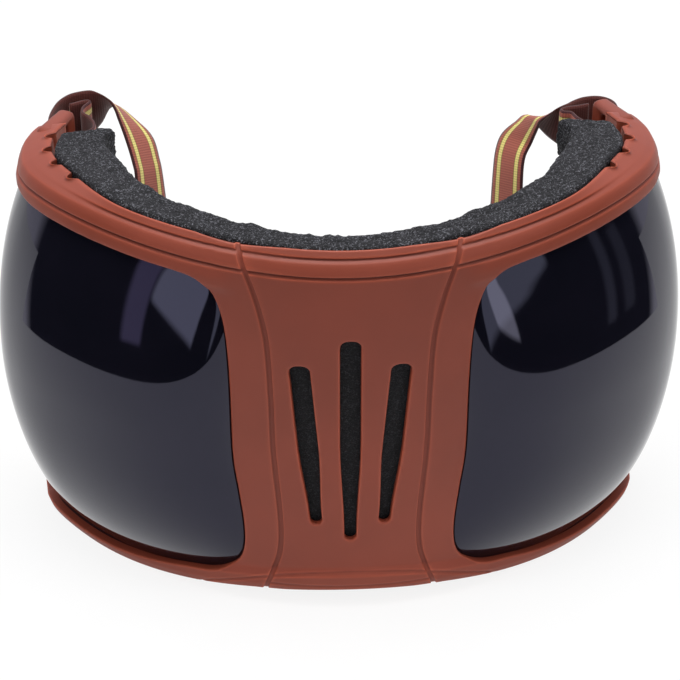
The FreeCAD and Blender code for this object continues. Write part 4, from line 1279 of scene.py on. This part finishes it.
def tube(points, radius, sides=6):
    """Tube along points in millimetres."""
    points = np.array(points, float)
    along = np.gradient(points, axis=0)
    along /= np.linalg.norm(along, axis=1)[:, None]
    helper = np.array((0.31, 0.52, 0.79))
    first = np.cross(along, helper)
    first /= np.linalg.norm(first, axis=1)[:, None]
    second = np.cross(along, first)
    angles = np.arange(sides) * 2 * math.pi / sides
    ring = (first[:, None, :] * np.cos(angles)[None, :, None]
            + second[:, None, :] * np.sin(angles)[None, :, None]) * radius
    grid = points[:, None, :] + ring
    ids = np.arange(len(points) * sides).reshape(-1, sides).tolist()
    faces = [face for rings in zip(ids, ids[1:]) for face in ring_quads(*rings, flip=True)]
    return grid.reshape(-1, 3), faces + [ids[0][::-1], ids[-1]]


def make_stitching(name, side, loop):
    """Zigzag rows on both faces of the hem, with a few frayed ends."""
    near = POST + np.array((-loop[2][0], loop[2][1], 0)) * STRAP_REACH
    far = POST + np.array((-loop[-1][0], loop[-1][1], 0)) * STRAP_REACH
    across = (far - near) / np.linalg.norm(far - near)
    along = np.cross(across, UP)
    random = np.random.default_rng(11)
    points, faces, count = [], [], 0

    def put(line, radius):
        nonlocal count
        tube_points, tube_faces = tube(smooth_line(line, 4), radius)
        points.append(tube_points)
        faces.extend(tuple(corner + count for corner in face) for face in tube_faces)
        count += len(tube_points)

    for spot, outward in ((near, -1), (far, 1)):
        face = spot + across * outward * (STRAP_THICKNESS / 2 + THREAD_PROUD)
        zigzag = []
        for step in range(ZIGZAG_TURNS + 1):
            height = STRAP_MIDDLE - ZIGZAG_HEIGHT / 2 + ZIGZAG_HEIGHT * step / ZIGZAG_TURNS
            sway = ZIGZAG_SWAY if step % 2 else -ZIGZAG_SWAY
            zigzag.append(face + along * sway + UP * height)
        put(zigzag, THREAD_RADIUS)
    for _ in range(FRAYS):
        start = near + (far - near) * random.uniform(0, 1) + UP * (
            STRAP_MIDDLE - STRAP_WIDTH / 2 + random.uniform(-0.3, 1.2))
        sway = random.uniform(-1.6, 1.6, 3)
        droop = -random.uniform(0.8, 3.2)
        put([start, start + sway * 0.5 + UP * droop * 0.6, start + sway + UP * droop],
            FRAY_RADIUS)
    points = np.vstack(points)
    points[:, 0] *= side
    if side < 0:
        faces = [face[::-1] for face in faces]
    return link(name, mesh_from(name, points * MM, faces), THREAD)


for name, side, loop in (("right", RIGHT, RIGHT_LOOP), ("left", LEFT, LEFT_LOOP)):
    stitching = make_stitching(name + "_hem_thread", side, loop)
    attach(stitching, name + "_strap_half")
    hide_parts(name + "_strap_stitching")

# Buckle and keeper keep their solids

for name in ("buckle_socket", "buckle_plug", "buckle_prong_right", "buckle_prong_left",
             "strap_keeper"):
    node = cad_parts[name]
    node.data.materials.clear()
    node.data.materials.append(ACETAL)

# Floor, world and lamps, with their places in metres

# The table's near edge is this far from the origin, and the lenses mirror it as a line
TABLE_REACH = 0.42
# Share of plain white in what the camera and the lenses see of the table; the rest is lit
# paper, which keeps the shadow
TABLE_WHITE = 0.86
# Faint clouds in the table's paper, this many mm apart
PAPER = 33.0
# The back wall is white from this share of straight back, with an edge this soft
WALL_START, WALL_SOFT = 0.25, 0.02
# Softness of the lights' edges, in degrees of azimuth and of elevation
AZIMUTH_SOFT, ELEVATION_SOFT = 1.0, 0.8
SKY_STRENGTH = 0.75


def make_floor():
    """White table with a round near edge in front and straight edges behind."""
    made, tree, output, place = material("white_table")
    paper = add(tree, "ShaderNodeTexNoise", {"Scale": 1 / (PAPER * MM), "Detail": 2.0},
                {"Vector": place})
    tone = add(tree, "ShaderNodeValToRGB", links={"Fac": paper.outputs["Fac"]},
               stops=((0.3, linear("#efefef")), (0.7, linear("#f4f4f4"))))
    board = add(tree, "ShaderNodeBsdfDiffuse", links={"Color": tone.outputs["Color"]})
    white = add(tree, "ShaderNodeEmission", {"Color": (1, 1, 1, 1), "Strength": 1.0})
    path = add(tree, "ShaderNodeLightPath")
    either = add(tree, "ShaderNodeMath", {"operation": "ADD", "use_clamp": True},
                 {0: path.outputs["Is Camera Ray"], 1: path.outputs["Is Glossy Ray"]})
    seen = add(tree, "ShaderNodeMath", {"operation": "MULTIPLY", 1: TABLE_WHITE},
               {0: either.outputs["Value"]})
    mixed = add(tree, "ShaderNodeMixShader", links={0: seen.outputs["Value"],
                                                    1: board.outputs["BSDF"],
                                                    2: white.outputs["Emission"]})
    tree.links.new(mixed.outputs["Shader"], output.inputs["Surface"])
    edge = [(TABLE_REACH * math.sin(angle), -TABLE_REACH * math.cos(angle), 0)
            for angle in np.linspace(-math.radians(100), math.radians(100), 41)]
    corners = edge + [(3.5, 0.7, 0), (3.5, 4, 0), (-3.5, 4, 0), (-3.5, 0.7, 0)]
    mesh = bpy.data.meshes.new("table")
    mesh.from_pydata(corners, [], [tuple(range(len(corners)))])
    link("table", mesh, made)


make_floor()


def band(tree, value, start, stop, soft):
    """1 between two values and 0 outside, with soft ends."""
    rise = add(tree, "ShaderNodeMapRange", {"From Min": start - soft, "From Max": start + soft},
               {"Value": value})
    fall = add(tree, "ShaderNodeMapRange", {"From Min": stop + soft, "From Max": stop - soft},
               {"Value": value})
    return add(tree, "ShaderNodeMath", {"operation": "MULTIPLY"},
               {0: rise.outputs["Result"], 1: fall.outputs["Result"]}).outputs["Value"]


# Bright things in the room, as the lenses mirror them: azimuths from straight back and
# elevations in degrees, with the tilt of their lower edge, their colour and their strength
ROOM_LIGHTS = (
    (-129, -119, -9, 16, 0.0, "#c9bde6", 1.2),
    (-163, -130, -12, 14, 0.45, "#dfe2f0", 2.2),
    (119, 178, -18, 25, 0.42, "#dadfe8", 1.5),
    (148, 163, -11, -1, 0.0, "#ffffff", 2.4),
    (95, 99, -14, 12, 0.0, "#b9bccb", 0.45),
    (86, 91, -14, 6, 0.0, "#a9acbb", 0.35),
)


def make_world():
    """White for the camera. Reflections see a dark room in front and a white back wall."""
    world = bpy.data.worlds.new("studio")
    bpy.context.scene.world = world
    world.use_nodes = True
    tree = world.node_tree
    tree.nodes.clear()
    output = tree.nodes.new("ShaderNodeOutputWorld")
    path = add(tree, "ShaderNodeLightPath")
    direction = add(tree, "ShaderNodeTexCoord").outputs["Generated"]
    parts = add(tree, "ShaderNodeSeparateXYZ", links={"Vector": direction})
    azimuth = add(tree, "ShaderNodeMath", {"operation": "ARCTAN2"},
                  {0: parts.outputs["X"], 1: parts.outputs["Y"]})
    azimuth = add(tree, "ShaderNodeMath", {"operation": "DEGREES"},
                  {0: azimuth.outputs["Value"]}).outputs["Value"]
    height = add(tree, "ShaderNodeMath", {"operation": "ARCSINE"}, {0: parts.outputs["Z"]})
    height = add(tree, "ShaderNodeMath", {"operation": "DEGREES"},
                 {0: height.outputs["Value"]}).outputs["Value"]
    back = add(tree, "ShaderNodeMapRange", {"From Min": -1.0, "From Max": 1.0},
               {"Value": parts.outputs["Y"]})
    wall = add(tree, "ShaderNodeValToRGB", links={"Fac": back.outputs["Result"]},
               stops=((0.5 + WALL_START / 2 - WALL_SOFT, linear("#2e2e3a")),
                      (0.5 + WALL_START / 2 + WALL_SOFT, linear("#f4f2ff"))))
    room = add(tree, "ShaderNodeBackground", {"Strength": 1.0},
               {"Color": wall.outputs["Color"]}).outputs[0]
    for first, last, low, high, tilt, colour, strength in ROOM_LIGHTS:
        wide = band(tree, azimuth, first, last, AZIMUTH_SOFT)
        slope = add(tree, "ShaderNodeMath", {"operation": "MULTIPLY_ADD", 1: tilt,
                                             2: -tilt * (last if first > 0 else first)},
                    {0: azimuth})
        slope = add(tree, "ShaderNodeMath", {"operation": "ADD" if first > 0 else "SUBTRACT"},
                    {0: height, 1: slope.outputs["Value"]})
        tall = band(tree, slope.outputs["Value"], low, high, ELEVATION_SOFT)
        mask = add(tree, "ShaderNodeMath", {"operation": "MULTIPLY"}, {0: wide, 1: tall})
        power = add(tree, "ShaderNodeMath", {"operation": "MULTIPLY", 1: strength},
                    {0: mask.outputs["Value"]})
        glow = add(tree, "ShaderNodeBackground", {"Color": linear(colour)},
                   {"Strength": power.outputs["Value"]})
        room = add(tree, "ShaderNodeAddShader", links={0: room, 1: glow.outputs[0]}).outputs[0]
    over = add(tree, "ShaderNodeMapRange", {"From Min": -1.0, "From Max": 1.0},
               {"Value": parts.outputs["Z"]})
    sky = add(tree, "ShaderNodeValToRGB", links={"Fac": over.outputs["Result"]},
              stops=((0.45, linear("#6c6c6c")), (0.85, linear("#e8e8e8"))))
    soft = add(tree, "ShaderNodeBackground", {"Strength": SKY_STRENGTH},
               {"Color": sky.outputs["Color"]})
    white = add(tree, "ShaderNodeBackground", {"Color": (1, 1, 1, 1), "Strength": 1.0})
    glossy = add(tree, "ShaderNodeMixShader", links={0: path.outputs["Is Glossy Ray"],
                                                     1: soft.outputs["Background"], 2: room})
    seen = add(tree, "ShaderNodeMixShader", links={0: path.outputs["Is Camera Ray"],
                                                   1: glossy.outputs["Shader"],
                                                   2: white.outputs["Background"]})
    tree.links.new(seen.outputs["Shader"], output.inputs["Surface"])


make_world()


# Name, place, width, height, power in watts, and whether the lenses mirror it
LAMPS = (
    ("overhead_softbox", (0.0, 0.1, 1.5), 1.4, 1.2, 23, True),
    ("left_softbox", (-1.2, -0.6, 0.9), 0.8, 0.8, 3.5, False),
    ("right_softbox", (1.2, -0.6, 0.9), 0.8, 0.8, 3.5, False),
)
CENTRE = Vector((0, 0, 0.08))


def make_lamp(name, place, width, height, power, mirrored):
    """Rectangular lamp that faces the goggles."""
    data = bpy.data.lights.new(name, "AREA")
    data.shape, data.size, data.size_y, data.energy = "RECTANGLE", width, height, power
    lamp = bpy.data.objects.new(name, data)
    bpy.context.scene.collection.objects.link(lamp)
    lamp.location = place
    lamp.rotation_mode = "QUATERNION"
    lamp.rotation_quaternion = (CENTRE - Vector(place)).to_track_quat("-Z", "Y")
    lamp.visible_glossy = mirrored


for lamp in LAMPS:
    make_lamp(*lamp)

bpy.context.scene.view_settings.view_transform = "Standard"
